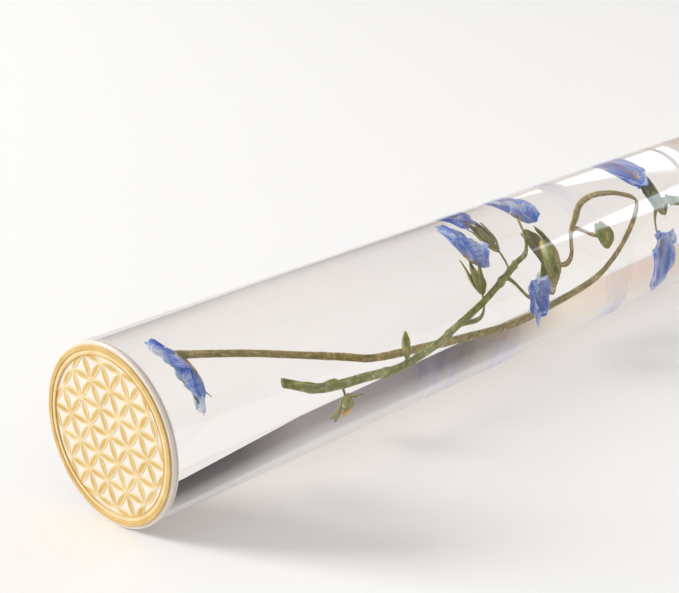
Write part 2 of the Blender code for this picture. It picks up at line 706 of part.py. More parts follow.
def crown_height(radius):
    """How far the lens's crown stands above its edge, this far from the axis."""
    half = LENS_DIAMETER / 2
    sphere = (half ** 2 + LENS_CROWN ** 2) / (2 * LENS_CROWN)
    return math.sqrt(sphere ** 2 - radius ** 2) - (sphere - LENS_CROWN)


def build_lens(bench, front):
    """Flat towards the mirrors and crowned towards the eye."""
    radius = LENS_DIAMETER / 2
    steps = 5
    crown = [(front + LENS_EDGE + crown_height(radius * i / steps), radius * i / steps)
             for i in range(steps)]
    bench.turned("eye_lens", (*crown, (front + LENS_EDGE, radius), (front, radius), (front, 0)),
                 "clear_acrylic")


def build_cap(bench, spigot_r):
    """The cap that the eye rests on, dished towards its peephole."""
    hole_r = PEEPHOLE / 2
    spigot_front = CAP_FRONT - CAP_SPIGOT_LENGTH
    bench.turned("eye_cap", (
        (TOTAL_LENGTH, OUTER_R - CAP_EDGE_ROUND), (TOTAL_LENGTH - CAP_EDGE_ROUND, OUTER_R),
        (CAP_FRONT, OUTER_R), (CAP_FRONT, spigot_r), (spigot_front, spigot_r),
        (spigot_front, hole_r), (TOTAL_LENGTH - CAP_THICKNESS / 2, hole_r),
        (TOTAL_LENGTH, hole_r + CAP_THICKNESS / 2)), "black_acetal")


def main():
    clear_scene()
    pieces = new_collection("kaleidoscope")
    cutters = new_collection("cutters")
    barrel_axis = new_axis("barrel_axis", pieces, TOTAL_LENGTH)
    chamber_axis = new_axis("chamber_axis", pieces, CHAMBER_LENGTH)
    drift_axis = new_axis("drift_axis", pieces, CHAMBER_LENGTH / 2)
    bpy.context.view_layer.update()
    build_barrel(Bench(pieces, cutters, barrel_axis))
    build_chamber(Bench(pieces, cutters, chamber_axis))
    build_sprigs(Bench(pieces, cutters, drift_axis))


main()
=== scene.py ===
"""The looks of a slim flower kaleidoscope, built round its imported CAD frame.

The tube lies along X on a pale floor. The gold rosette faces -X; then come the clear chamber
with its sprigs of forget-me-not, the grip collar, the anodised mirror barrel and the eyepiece.
Each sub-assembly is a class that reads its stations from the CAD nodes, builds its meshes
there and dresses them. Lengths are in metres and angles in radians.
"""

import logging
import math
from abc import ABC, abstractmethod
from collections.abc import Callable, Sequence
from dataclasses import dataclass, field
from enum import Enum

import bmesh
import bpy
import numpy as np
from mathutils import Matrix, Vector, noise


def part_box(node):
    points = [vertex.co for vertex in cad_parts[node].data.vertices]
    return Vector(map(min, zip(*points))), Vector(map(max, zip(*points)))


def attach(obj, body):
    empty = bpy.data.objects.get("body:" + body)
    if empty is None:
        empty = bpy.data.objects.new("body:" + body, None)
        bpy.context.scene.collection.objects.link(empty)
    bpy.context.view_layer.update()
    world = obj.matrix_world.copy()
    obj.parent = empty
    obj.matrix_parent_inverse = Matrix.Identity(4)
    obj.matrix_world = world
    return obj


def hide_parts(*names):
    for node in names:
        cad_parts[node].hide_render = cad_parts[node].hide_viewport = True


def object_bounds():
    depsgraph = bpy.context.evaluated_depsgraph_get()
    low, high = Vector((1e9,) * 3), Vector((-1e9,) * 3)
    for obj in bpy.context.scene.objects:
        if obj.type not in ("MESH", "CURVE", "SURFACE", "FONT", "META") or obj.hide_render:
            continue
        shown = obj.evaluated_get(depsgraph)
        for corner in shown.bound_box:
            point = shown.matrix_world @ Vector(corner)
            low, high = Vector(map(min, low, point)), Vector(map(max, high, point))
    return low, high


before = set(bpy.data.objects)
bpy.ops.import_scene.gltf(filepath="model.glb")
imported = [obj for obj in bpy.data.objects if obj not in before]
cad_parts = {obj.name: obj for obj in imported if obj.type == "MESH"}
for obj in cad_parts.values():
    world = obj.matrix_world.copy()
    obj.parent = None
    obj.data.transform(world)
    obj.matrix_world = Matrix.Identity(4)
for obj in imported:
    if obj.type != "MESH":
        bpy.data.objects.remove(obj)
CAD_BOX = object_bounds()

LOG = logging.getLogger("kaleidoscope")
MM = 0.001
AXIS = (CAD_BOX[0].z + CAD_BOX[1].z) / 2
TUBE_R = (CAD_BOX[1].z - CAD_BOX[0].z) / 2
FINE_SIDES = 128
SMALL_SIDES = 48
SHARP = math.radians(32)
# local Z along the tube towards the eyepiece, local -X up, as the CAD's own axis has it
ALONG_TUBE = Matrix.Translation((0, 0, AXIS)) @ Matrix.Rotation(math.pi / 2, 4, "Y")
MIX_A, MIX_B, MIX_RESULT = 6, 7, 2
RANDOM_MIN, RANDOM_MAX, RANDOM_VALUE = 2, 3, 1


class Body(Enum):
    """The three groups that move against each other."""

    BARREL = "barrel"
    CHAMBER = "chamber"
    SPRIGS = "sprigs"


# ---- Nodes and colours ------------------------------------------------------------------------
def linear(hex_colour: str, alpha: float = 1.0) -> tuple[float, float, float, float]:
    """Turns an sRGB hex colour such as '#C99A3E' into linear RGBA.

    Args:
        hex_colour: Six hex digits after a hash.
        alpha: The fourth number.

    Returns:
        Red, green, blue and alpha, each from 0 to 1.
    """
    shares = (int(hex_colour[i:i + 2], 16) / 255 for i in (1, 3, 5))
    red, green, blue = (s / 12.92 if s <= 0.04045 else ((s + 0.055) / 1.055) ** 2.4 for s in shares)
    return red, green, blue, alpha


def add_node(tree: bpy.types.NodeTree, kind: str, settings: dict | None = None,
             inputs: dict | None = None) -> bpy.types.Node:
    """Adds one node with its settings, its values and its links.

    Args:
        tree: The tree that gets the node.
        kind: The node's Blender type.
        settings: Attributes by name. "stops" fills a colour ramp from (place, hex colour) pairs.
        inputs: Sockets by name or number; a value is set, and another node's socket is linked.

    Returns:
        The new node.
    """
    node = tree.nodes.new(kind)
    for key, value in (settings or {}).items():
        if key == "stops":
            ramp = node.color_ramp.elements
            while len(ramp) < len(value):
                ramp.new(0.5)
            for element, (place, colour) in zip(ramp, value):
                element.position = place
                element.color = linear(colour)
        else:
            setattr(node, key, value)
    for key, value in (inputs or {}).items():
        if isinstance(value, bpy.types.NodeSocket):
            tree.links.new(value, node.inputs[key])
        else:
            node.inputs[key].default_value = value
    return node


# ---- Finishes ---------------------------------------------------------------------------------
@dataclass(frozen=True)
class Finish(ABC):
    """A surface, named for its material, that knows how to lay its own nodes."""

    name: str

    @abstractmethod
    def surface(self, tree: bpy.types.NodeTree) -> bpy.types.NodeSocket:
        """Lays the nodes and returns the shader socket that the output shows."""

    def material(self) -> bpy.types.Material:
        """The Blender material of this finish, made on first use."""
        found = bpy.data.materials.get(self.name)
        if found is None:
            found = bpy.data.materials.new(self.name)
            found.use_nodes = True
            found.node_tree.nodes.clear()
            shader = self.surface(found.node_tree)
            add_node(found.node_tree, "ShaderNodeOutputMaterial", inputs={"Surface": shader})
        return found

    @staticmethod
    def place(tree: bpy.types.NodeTree, scale: tuple[float, float, float] = (1, 1, 1),
              centred: bool = False) -> bpy.types.NodeSocket:
        """Object coordinates, stretched by scale and, if asked, measured from the tube's axis."""
        coords = add_node(tree, "ShaderNodeTexCoord").outputs["Object"]
        shift = (0, 0, -AXIS * scale[2]) if centred else (0, 0, 0)
        return add_node(tree, "ShaderNodeMapping", inputs={
            "Vector": coords, "Scale": scale, "Location": shift}).outputs["Vector"]


@dataclass(frozen=True)
class ClearCast(Finish):
    """Cast acrylic, turned and flame polished: sharp refraction with a faint warm tint.

    Rays from lamps pass straight through, so what is sealed inside is lit softly.
    """

    tint: str = "#FCF9F7"
    ior: float = 1.49

    def surface(self, tree: bpy.types.NodeTree) -> bpy.types.NodeSocket:
        """Clear Principled glass, with drawing marks too fine to bend the view."""
        marks = add_node(tree, "ShaderNodeTexNoise", {"noise_dimensions": "3D"}, {
            "Vector": self.place(tree, (20, 300, 300)), "Scale": 1.0, "Detail": 1.0})
        relief = add_node(tree, "ShaderNodeBump", inputs={
            "Strength": 0.02, "Distance": 0.02 * MM, "Height": marks.outputs["Fac"]})
        body = add_node(tree, "ShaderNodeBsdfPrincipled", inputs={
            "Base Color": linear(self.tint), "Roughness": 0.0, "IOR": self.ior,
            "Transmission Weight": 1.0, "Normal": relief.outputs["Normal"]})
        open_way = add_node(tree, "ShaderNodeBsdfTransparent", inputs={"Color": linear("#F4F0EE")})
        path = add_node(tree, "ShaderNodeLightPath")
        from_lamp = add_node(tree, "ShaderNodeMath", {"operation": "MAXIMUM"}, {
            0: path.outputs["Is Shadow Ray"], 1: path.outputs["Is Diffuse Ray"]})
        return add_node(tree, "ShaderNodeMixShader", inputs={
            0: from_lamp.outputs["Value"], 1: body.outputs[0],
            2: open_way.outputs[0]}).outputs[0]


@dataclass(frozen=True)
class FrostedAcrylic(Finish):
    """Acrylic film frosted by blasting: a milky sheet that glows with the light behind it."""

    colour: str = "#FAF0E4"
    shade: str = "#F2E6D8"
    glow: float = 0.12

    def surface(self, tree: bpy.types.NodeTree) -> bpy.types.NodeSocket:
        """Cloudy cream over a fine blasted grain, partly lit from behind."""
        clouds = add_node(tree, "ShaderNodeTexNoise", inputs={
            "Vector": self.place(tree), "Scale": 160.0, "Detail": 3.0})
        tone = add_node(tree, "ShaderNodeMix", {"data_type": "RGBA"}, {
            0: clouds.outputs["Fac"], MIX_A: linear(self.shade), MIX_B: linear(self.colour)})
        grain = add_node(tree, "ShaderNodeTexNoise", inputs={
            "Vector": self.place(tree), "Scale": 9000.0, "Detail": 2.0})
        relief = add_node(tree, "ShaderNodeBump", inputs={
            "Strength": 0.25, "Distance": 0.03 * MM, "Height": grain.outputs["Fac"]})
        face = add_node(tree, "ShaderNodeBsdfPrincipled", inputs={
            "Base Color": tone.outputs[MIX_RESULT], "Roughness": 0.42, "IOR": 1.49,
            "Normal": relief.outputs["Normal"]})
        behind = add_node(tree, "ShaderNodeBsdfTranslucent", inputs={
            "Color": tone.outputs[MIX_RESULT]})
        return add_node(tree, "ShaderNodeMixShader", inputs={
            0: self.glow, 1: face.outputs[0], 2: behind.outputs[0]}).outputs[0]


@dataclass(frozen=True)
class GoldInk(Finish):
    """Metallic gold ink, screen printed: flake in a clear binder, so half metal, half paint."""

    colour: str = "#D3AA4F"
    thin: str = "#E2C47C"
    metallic: float = 0.05

    def surface(self, tree: bpy.types.NodeTree) -> bpy.types.NodeSocket:
        """Gold that thins out in patches, with a little flake in its gloss."""
        patches = add_node(tree, "ShaderNodeTexNoise", inputs={
            "Vector": self.place(tree), "Scale": 420.0, "Detail": 4.0, "Roughness": 0.6})
        tone = add_node(tree, "ShaderNodeValToRGB", {"stops": (
            (0.35, self.colour), (0.70, self.thin))}, {"Fac": patches.outputs["Fac"]})
        flake = add_node(tree, "ShaderNodeTexVoronoi", inputs={
            "Vector": self.place(tree), "Scale": 7000.0})
        relief = add_node(tree, "ShaderNodeBump", inputs={
            "Strength": 0.30, "Distance": 0.02 * MM, "Height": flake.outputs["Distance"]})
        return add_node(tree, "ShaderNodeBsdfPrincipled", inputs={
            "Base Color": tone.outputs["Color"], "Metallic": self.metallic, "Roughness": 0.52,
            "Normal": relief.outputs["Normal"]}).outputs[0]


@dataclass(frozen=True)
class TurnedMetal(Finish):
    """Metal turned on a lathe: fine rings round the axis, spread as coarse as they can show."""

    colour: str = "#D8B26A"
    worn: str = "#E9CF98"
    roughness: float = 0.26
    ring_spacing: float = 0.25 * MM

    def surface(self, tree: bpy.types.NodeTree) -> bpy.types.NodeSocket:
        """Rings from the distance along and from the axis, in gloss, tone and relief."""
        parts = add_node(tree, "ShaderNodeSeparateXYZ", inputs={
            "Vector": self.place(tree, centred=True)})
        across = add_node(tree, "ShaderNodeCombineXYZ", inputs={
            "Y": parts.outputs["Y"], "Z": parts.outputs["Z"]})
        radius = add_node(tree, "ShaderNodeVectorMath", {"operation": "LENGTH"}, {
            0: across.outputs[0]})
        ring_place = add_node(tree, "ShaderNodeCombineXYZ", inputs={
            "X": parts.outputs["X"], "Y": radius.outputs["Value"]})
        rings = add_node(tree, "ShaderNodeTexNoise", {"noise_dimensions": "2D"}, {
            "Vector": ring_place.outputs[0], "Scale": 1 / self.ring_spacing, "Detail": 3.0})
        handled = add_node(tree, "ShaderNodeTexNoise", inputs={
            "Vector": self.place(tree), "Scale": 130.0, "Detail": 4.0})
        tone = add_node(tree, "ShaderNodeMix", {"data_type": "RGBA"}, {
            0: rings.outputs["Fac"], MIX_A: linear(self.colour), MIX_B: linear(self.worn)})
        gloss = add_node(tree, "ShaderNodeMapRange", inputs={
            "Value": handled.outputs["Fac"], "From Min": 0.3, "From Max": 0.7,
            "To Min": self.roughness - 0.06, "To Max": self.roughness + 0.10})
        relief = add_node(tree, "ShaderNodeBump", inputs={
            "Strength": 0.30, "Distance": 0.02 * MM, "Height": rings.outputs["Fac"]})
        return add_node(tree, "ShaderNodeBsdfPrincipled", inputs={
            "Base Color": tone.outputs[MIX_RESULT], "Metallic": 1.0,
            "Roughness": gloss.outputs["Result"], "Normal": relief.outputs["Normal"]}).outputs[0]


@dataclass(frozen=True)
class Moulded(Finish):
    """Moulded or machined polymer, rubber or card: an even colour over a fine grain."""

    colour: str = "#1C1C1E"
    light: str = "#29292C"
    roughness: float = 0.45
    grain: float = 0.12 * MM
    depth: float = 0.02 * MM

    def surface(self, tree: bpy.types.NodeTree) -> bpy.types.NodeSocket:
        """A fine pebble in the relief, with slow patches in tone and gloss."""
        pebble = add_node(tree, "ShaderNodeTexNoise", inputs={
            "Vector": self.place(tree), "Scale": 1 / self.grain, "Detail": 3.0})
        patches = add_node(tree, "ShaderNodeTexNoise", inputs={
            "Vector": self.place(tree), "Scale": 240.0, "Detail": 2.0})
        tone = add_node(tree, "ShaderNodeMix", {"data_type": "RGBA"}, {
            0: patches.outputs["Fac"], MIX_A: linear(self.colour), MIX_B: linear(self.light)})
        gloss = add_node(tree, "ShaderNodeMapRange", inputs={
            "Value": patches.outputs["Fac"], "To Min": self.roughness - 0.05,
            "To Max": self.roughness + 0.08})
        relief = add_node(tree, "ShaderNodeBump", inputs={
            "Strength": 0.35, "Distance": self.depth, "Height": pebble.outputs["Fac"]})
        return add_node(tree, "ShaderNodeBsdfPrincipled", inputs={
            "Base Color": tone.outputs[MIX_RESULT], "Roughness": gloss.outputs["Result"],
            "Normal": relief.outputs["Normal"]}).outputs[0]


@dataclass(frozen=True)
class Silvered(Finish):
    """Front-silvered glass: a bright coat with a trace of haze."""

    colour: str = "#E4E8EA"

    def surface(self, tree: bpy.types.NodeTree) -> bpy.types.NodeSocket:
        """Almost a perfect mirror; the haze only softens it in patches."""
        haze = add_node(tree, "ShaderNodeTexNoise", inputs={
            "Vector": self.place(tree), "Scale": 300.0, "Detail": 3.0})
        gloss = add_node(tree, "ShaderNodeMapRange", inputs={
            "Value": haze.outputs["Fac"], "To Min": 0.01, "To Max": 0.06})
        return add_node(tree, "ShaderNodeBsdfPrincipled", inputs={
            "Base Color": linear(self.colour), "Metallic": 1.0,
            "Roughness": gloss.outputs["Result"]}).outputs[0]


@dataclass(frozen=True)
class Petal(Finish):
    """A dried forget-me-not petal in oil: thin, veined, and lit through.

    The UV map runs from root to tip (U) and from edge to edge (V).
    """

    core: str = "#70A0F2"
    mid: str = "#B0D0FC"
    edge: str = "#EAF4FF"
    vein: str = "#4474D0"
    faded: str = "#FBFDFF"
    glow: float = 0.58

    def surface(self, tree: bpy.types.NodeTree) -> bpy.types.NodeSocket:
        """Pale throat, blue middle and lavender edge, broken by mottling and veins."""
        uv = add_node(tree, "ShaderNodeTexCoord").outputs["UV"]
        parts = add_node(tree, "ShaderNodeSeparateXYZ", inputs={"Vector": uv})
        mottle = add_node(tree, "ShaderNodeTexNoise", inputs={
            "Vector": self.place(tree), "Scale": 1100.0, "Detail": 6.0, "Roughness": 0.7})
        shift = add_node(tree, "ShaderNodeMath", {"operation": "MULTIPLY_ADD"}, {
            0: mottle.outputs["Fac"], 1: 1.8, 2: -0.9})
        reach = add_node(tree, "ShaderNodeMath", {"operation": "ADD"}, {
            0: parts.outputs["X"], 1: shift.outputs[0]})
        tone = add_node(tree, "ShaderNodeValToRGB", {"stops": (
            (0.02, "#F3F0FA"), (0.16, "#C9CDF0"), (0.34, self.mid), (0.58, self.core),
            (0.80, self.mid), (0.98, self.edge))}, {"Fac": reach.outputs[0]})
        fan = add_node(tree, "ShaderNodeCombineXYZ", inputs={
            "X": parts.outputs["Y"], "Y": mottle.outputs["Fac"]})
        ribs = add_node(tree, "ShaderNodeTexWave", {"bands_direction": "X"}, {
            "Vector": fan.outputs[0], "Scale": 2.6, "Distortion": 3.0, "Detail": 2.0})
        veins = add_node(tree, "ShaderNodeMapRange", inputs={
            "Value": ribs.outputs["Fac"], "From Min": 0.70, "From Max": 1.0,
            "To Min": 0.0, "To Max": 0.50})
        veined = add_node(tree, "ShaderNodeMix", {"data_type": "RGBA"}, {
            0: veins.outputs["Result"], MIX_A: tone.outputs["Color"], MIX_B: linear(self.vein)})
        fading = add_node(tree, "ShaderNodeTexNoise", inputs={
            "Vector": self.place(tree), "Scale": 380.0, "Detail": 4.0, "Roughness": 0.6})
        faded = add_node(tree, "ShaderNodeMapRange", inputs={
            "Value": fading.outputs["Fac"], "From Min": 0.48, "From Max": 0.66,
            "To Min": 0.0, "To Max": 0.85})
        colour = add_node(tree, "ShaderNodeMix", {"data_type": "RGBA"}, {
            0: faded.outputs["Result"], MIX_A: veined.outputs[MIX_RESULT],
            MIX_B: linear(self.faded)})
        relief = add_node(tree, "ShaderNodeBump", inputs={
            "Strength": 0.7, "Distance": 0.05 * MM, "Height": ribs.outputs["Fac"]})
        face = add_node(tree, "ShaderNodeBsdfPrincipled", inputs={
            "Base Color": colour.outputs[MIX_RESULT], "Roughness": 0.30,
            "Normal": relief.outputs["Normal"]})
        behind = add_node(tree, "ShaderNodeBsdfTranslucent", inputs={
            "Color": colour.outputs[MIX_RESULT]})
        return add_node(tree, "ShaderNodeMixShader", inputs={
            0: self.glow, 1: face.outputs[0], 2: behind.outputs[0]}).outputs[0]


@dataclass(frozen=True)
class Greenery(Finish):
    """Dried stem or sepal tissue: fibres along its length, green that browns in patches; the pale tone is
    partly paler dried tissue and partly painted highlight.

    The UV map runs along the fibres (U) and round or across them (V).
    """

    green: str = "#66702F"
    brown: str = "#8A7440"
    pale: str = "#B59A68"
    dark: str = "#3E4A22"
    fibres: float = 9.0

    def surface(self, tree: bpy.types.NodeTree) -> bpy.types.NodeSocket:
        """Long streaks over slow patches of green and brown with pale spots that are partly painted
        highlight, and a downy relief.
        """
        uv = add_node(tree, "ShaderNodeTexCoord").outputs["UV"]
        long_way = add_node(tree, "ShaderNodeMapping", inputs={
            "Vector": uv, "Scale": (0.9, self.fibres, 1.0)})
        streaks = add_node(tree, "ShaderNodeTexNoise", {"noise_dimensions": "2D"}, {
            "Vector": long_way.outputs[0], "Scale": 1.0, "Detail": 4.0, "Roughness": 0.65})
        patches = add_node(tree, "ShaderNodeTexNoise", inputs={
            "Vector": self.place(tree), "Scale": 650.0, "Detail": 5.0, "Roughness": 0.7})
        # the pale stop, here and in the streaks, is partly painted highlight
        body = add_node(tree, "ShaderNodeValToRGB", {"stops": (
            (0.30, self.dark), (0.42, self.green), (0.54, self.brown), (0.66, self.pale))},
            {"Fac": patches.outputs["Fac"]})
        lines = add_node(tree, "ShaderNodeValToRGB", {"stops": (
            (0.35, self.dark), (0.55, self.green), (0.72, self.pale))},
            {"Fac": streaks.outputs["Fac"]})
        colour = add_node(tree, "ShaderNodeMix", {"data_type": "RGBA"}, {
            0: 0.45, MIX_A: body.outputs["Color"], MIX_B: lines.outputs["Color"]})
        relief = add_node(tree, "ShaderNodeBump", inputs={
            "Strength": 0.8, "Distance": 0.06 * MM, "Height": streaks.outputs["Fac"]})
        return add_node(tree, "ShaderNodeBsdfPrincipled", inputs={
            "Base Color": colour.outputs[MIX_RESULT], "Roughness": 0.48,
            "Subsurface Weight": 0.10, "Subsurface Scale": 0.2 * MM,
            "Normal": relief.outputs["Normal"]}).outputs[0]


@dataclass(frozen=True)
class Speck(Finish):
    """A small bright thing: plant hair, pollen, or a bead of air held in the oil; a bead's plain white is
    a painted glint, not the clear air itself.
    """

    colour: str = "#F4EFE2"
    dull: str = "#D9CFAF"
    roughness: float = 0.3

    def surface(self, tree: bpy.types.NodeTree) -> bpy.types.NodeSocket:
        """Two close tones from one speck to the next."""
        change = add_node(tree, "ShaderNodeTexNoise", inputs={
            "Vector": self.place(tree), "Scale": 2200.0, "Detail": 1.0})
        tone = add_node(tree, "ShaderNodeMix", {"data_type": "RGBA"}, {
            0: change.outputs["Fac"], MIX_A: linear(self.dull), MIX_B: linear(self.colour)})
        return add_node(tree, "ShaderNodeBsdfPrincipled", inputs={
            "Base Color": tone.outputs[MIX_RESULT], "Roughness": self.roughness}).outputs[0]


CAST_ACRYLIC = ClearCast("cast_acrylic_polished")
LENS_ACRYLIC = ClearCast("optical_acrylic_polished", tint="#FAFBFB")
CEMENT = Speck("acrylic_cement_line", "#F7F4F2", "#E6E1DE", 0.25)
FROSTED_FILM = FrostedAcrylic("frosted_acrylic_blasted")
DEEP_GOLD = GoldInk("gold_ink_deep", "#CDA75A", "#DDBF7E")
PALE_GOLD = GoldInk("gold_ink_pale", "#E3C98F", "#F0DDB2")
GOLD_ANODISED = TurnedMetal("aluminium_gold_anodised_turned")
BLACK_ACETAL = Moulded("acetal_black_machined")
WHITE_ACETAL = Moulded("acetal_natural_machined", "#E4E0D6", "#F0EDE6", 0.40)
BLACK_NITRILE = Moulded("nitrile_rubber_moulded", "#141414", "#242424", 0.60, 0.2 * MM)
BLACK_CARD = Moulded("card_black_pressed", "#121212", "#1E1D1C", 0.85, 0.3 * MM, 0.05 * MM)
SPRING_STEEL = TurnedMetal("spring_steel_blackened", "#4A4B50", "#77797F", 0.34)
SILVERED_GLASS = Silvered("glass_front_silvered")
PETAL_BLUE = Petal("petal_dried_blue")
# each greenery's pale colour is set bright, partly as painted highlight on stems and sepals
STEM_BROWN = Greenery("stem_dried_brown", "#948C48", "#AE974E", "#EBD9A4", "#665824", 7.0)
STEM_GREEN = Greenery("stem_dried_green", "#7B8E3E", "#96984A", "#DDDC9C", "#48581F", 7.0)
SEPAL_GREEN = Greenery("sepal_dried_green", "#84963C", "#AC9A50", "#F0D2A4", "#45521E", 5.0)
DOWN = Speck("plant_down", "#F4EFDF", "#8B8350", 0.4)
POLLEN = Speck("flower_scales_yellow", "#F0C64A", "#D79A2E", 0.5)
# air beads: plain white, a painted glint that stands for the bright spots of air held in the oil
AIR_BEAD_PAINTED_GLINT = Speck("air_bead_painted_glint", "#FFFFFF", "#EEF0F5", 0.05)


# ---- Meshes -----------------------------------------------------------------------------------
def new_object(name: str, mesh: bpy.types.Mesh) -> bpy.types.Object:
    """Links a mesh to the scene as an object at the origin."""
    mesh.name = name
    made = bpy.data.objects.new(name, mesh)
    bpy.context.scene.collection.objects.link(made)
    return made


def smooth(mesh: bpy.types.Mesh) -> None:
    """Shades a mesh smooth, but for the edges that are really sharp."""
    mesh.shade_smooth()
    mesh.set_sharp_from_angle(angle=SHARP)


def settled(piece: bpy.types.Object) -> bpy.types.Object:
    """Applies a piece's modifiers, so that a plain mesh is left."""
    bpy.context.view_layer.update()
    graph = bpy.context.evaluated_depsgraph_get()
    mesh = bpy.data.meshes.new_from_object(piece.evaluated_get(graph),
                                           preserve_all_data_layers=True, depsgraph=graph)
    piece.modifiers.clear()
    piece.data = mesh
    return piece


def seat(piece: bpy.types.Object, body: Body, slot: str, *nodes: str) -> bpy.types.Object:
    """Hands a finished piece to the frame.

    Args:
        piece: The piece, its place in its mesh.
        body: The body that it rides on.
        slot: The record's material slot; not used.
        nodes: The CAD nodes that it stands for.

    Returns:
        The same piece.
    """
    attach(piece, body.value)
    if nodes:
        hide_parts(*nodes)
    LOG.info("%s on %s: %d faces", piece.name, body.value, len(piece.data.polygons))
    return piece


def dress(node: str, finish: Finish) -> None:
    """Gives a CAD node that keeps its own shape its finish."""
    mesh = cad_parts[node].data
    mesh.materials.clear()
    mesh.materials.append(finish.material())
    LOG.info("%s kept, in %s", node, finish.name)


@dataclass(frozen=True)
class Span:
    """The stretch of the tube's axis that a turned CAD node fills, and its radii there."""

    front: float
    rear: float
    outer: float
    inner: float

    @classmethod
    def of(cls, node: str, start: float = -1.0, end: float = 1.0) -> "Span":
        """Measures a node, or the part of it whose corners lie between two stations."""
        corners = [v.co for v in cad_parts[node].data.vertices if start <= v.co.x <= end]
        radii = [math.hypot(c.y, c.z - AXIS) for c in corners]
        return cls(min(c.x for c in corners), max(c.x for c in corners), max(radii), min(radii))


Outline = Sequence[tuple[float, float]]


def eased(outline: Outline, size: float) -> list[tuple[float, float]]:
    """Breaks an outline's corners that lie off the axis with small chamfers.

    Args:
        outline: Points as (station, radius). One that starts on the axis is open.
        size: The chamfer's setback along each side; short sides limit it.

    Returns:
        The new outline.
    """
    closed = outline[0][1] > 0
    result = []
    for i, corner in enumerate(outline):
        if corner[1] <= 0 or (not closed and i in (0, len(outline) - 1)):
            result.append(corner)
            continue
        here = Vector(corner)
        for other in (outline[i - 1], outline[(i + 1) % len(outline)]):
            way = Vector(other) - here
            result.append(tuple(here + way.normalized() * min(size, way.length * 0.3)))
    return result


def lathe(name: str, outline: Outline, finish: Finish, sides: int = FINE_SIDES) -> bpy.types.Object:
    """A piece turned round the tube's axis.

    Args:
        name: The object's name.
        outline: Points as (station, radius); closed unless it starts and ends on the axis.
        finish: What it is made of.
        sides: How many sides a round has.

    Returns:
        The piece, closed and facing outwards.
    """
    shape = bmesh.new()
    rings = []
    for station, radius in outline:
        if radius <= 0:
            rings.append([shape.verts.new((station, 0, AXIS))] * sides)
            continue
        turns = (math.tau * i / sides for i in range(sides))
        rings.append([shape.verts.new((station, radius * math.cos(t), AXIS + radius * math.sin(t)))
                      for t in turns])
    pairs = list(zip(rings, rings[1:]))
    if outline[0][1] > 0:
        pairs.append((rings[-1], rings[0]))
    for ring, following in pairs:
        for i in range(sides):
            j = (i + 1) % sides
            corners = dict.fromkeys((ring[i], ring[j], following[j], following[i]))
            shape.faces.new(list(corners))
    bmesh.ops.recalc_face_normals(shape, faces=shape.faces)
    mesh = bpy.data.meshes.new(name)
    shape.to_mesh(mesh)
    shape.free()
    smooth(mesh)
    mesh.materials.append(finish.material())
    return new_object(name, mesh)


def prism(name: str, outline: Sequence[tuple[float, float]], low: float, high: float,
          inner: Sequence[tuple[float, float]] | None = None) -> bpy.types.Mesh:
    """A flat shape with a thickness along local Z, solid or, with an inner outline, a frame."""
    shape = bmesh.new()
    loops = [[shape.verts.new((x, y, z)) for x, y in ring]
             for z in (low, high) for ring in ((outline, inner) if inner else (outline,))]
    if inner:
        walls = ((0, 2), (1, 3), (0, 1), (2, 3))
    else:
        shape.faces.new(loops[0])
        shape.faces.new(loops[1])
        walls = ((0, 1),)
    for first, second in walls:
        for i in range(len(outline)):
            j = (i + 1) % len(outline)
            shape.faces.new((loops[first][i], loops[first][j], loops[second][j], loops[second][i]))
    bmesh.ops.recalc_face_normals(shape, faces=shape.faces)
    mesh = bpy.data.meshes.new(name)
    shape.to_mesh(mesh)
    shape.free()
    return mesh


def blade(name: str, point: Callable[[float, float], Vector], rows: int = 10,
          columns: int = 6) -> bpy.types.Mesh:
    """A thin leaf with its root at the origin, U along it and V across it.

    Args:
        name: The mesh's name.
        point: Where it is at a share of its length and from -1 to 1 across.
        rows: Faces along it.
        columns: Faces across it.

    Returns:
        An open sheet, to be thickened later.
    """
    shape = bmesh.new()
    layer = shape.loops.layers.uv.new("UVMap")
    grid = {}
    for r in range(rows + 1):
        along = r / rows
        for c in range(columns + 1):
            across = 2 * c / columns - 1
            grid[r, c] = shape.verts.new(point(along, across))
    for r in range(rows):
        for c in range(columns):
            corners = ((r, c), (r + 1, c), (r + 1, c + 1), (r, c + 1))
            face = shape.faces.new([grid[k] for k in corners])
            for loop, (row, column) in zip(face.loops, corners):
                loop[layer].uv = (row / rows, column / columns)
    mesh = bpy.data.meshes.new(name)
    shape.to_mesh(mesh)
    shape.free()
    mesh.shade_smooth()
    return mesh


def smooth_path(points: Sequence[Vector], per_span: int) -> list[Vector]:
    """Points on a smooth curve through the given ones (Catmull-Rom)."""
    ends = [points[0] * 2 - points[1], *points, points[-1] * 2 - points[-2]]
    path = []
    for before, start, end, after in zip(ends, ends[1:], ends[2:], ends[3:]):
        for i in range(per_span):
            t = i / per_span
            path.append(0.5 * (2 * start + (end - before) * t
                               + (2 * before - 5 * start + 4 * end - after) * t ** 2
                               + (3 * start - before - 3 * end + after) * t ** 3))
    return path + [points[-1]]


def arc(start: Vector, leave: Vector, arrive: Vector, end: Vector, steps: int = 16) -> list[Vector]:
    """Points on the Bezier curve from start to end that heads for leave and comes from arrive."""
    shares = (i / steps for i in range(steps + 1))
    return [start * (1 - t) ** 3 + leave * 3 * t * (1 - t) ** 2 + arrive * 3 * t ** 2 * (1 - t)
            + end * t ** 3 for t in shares]


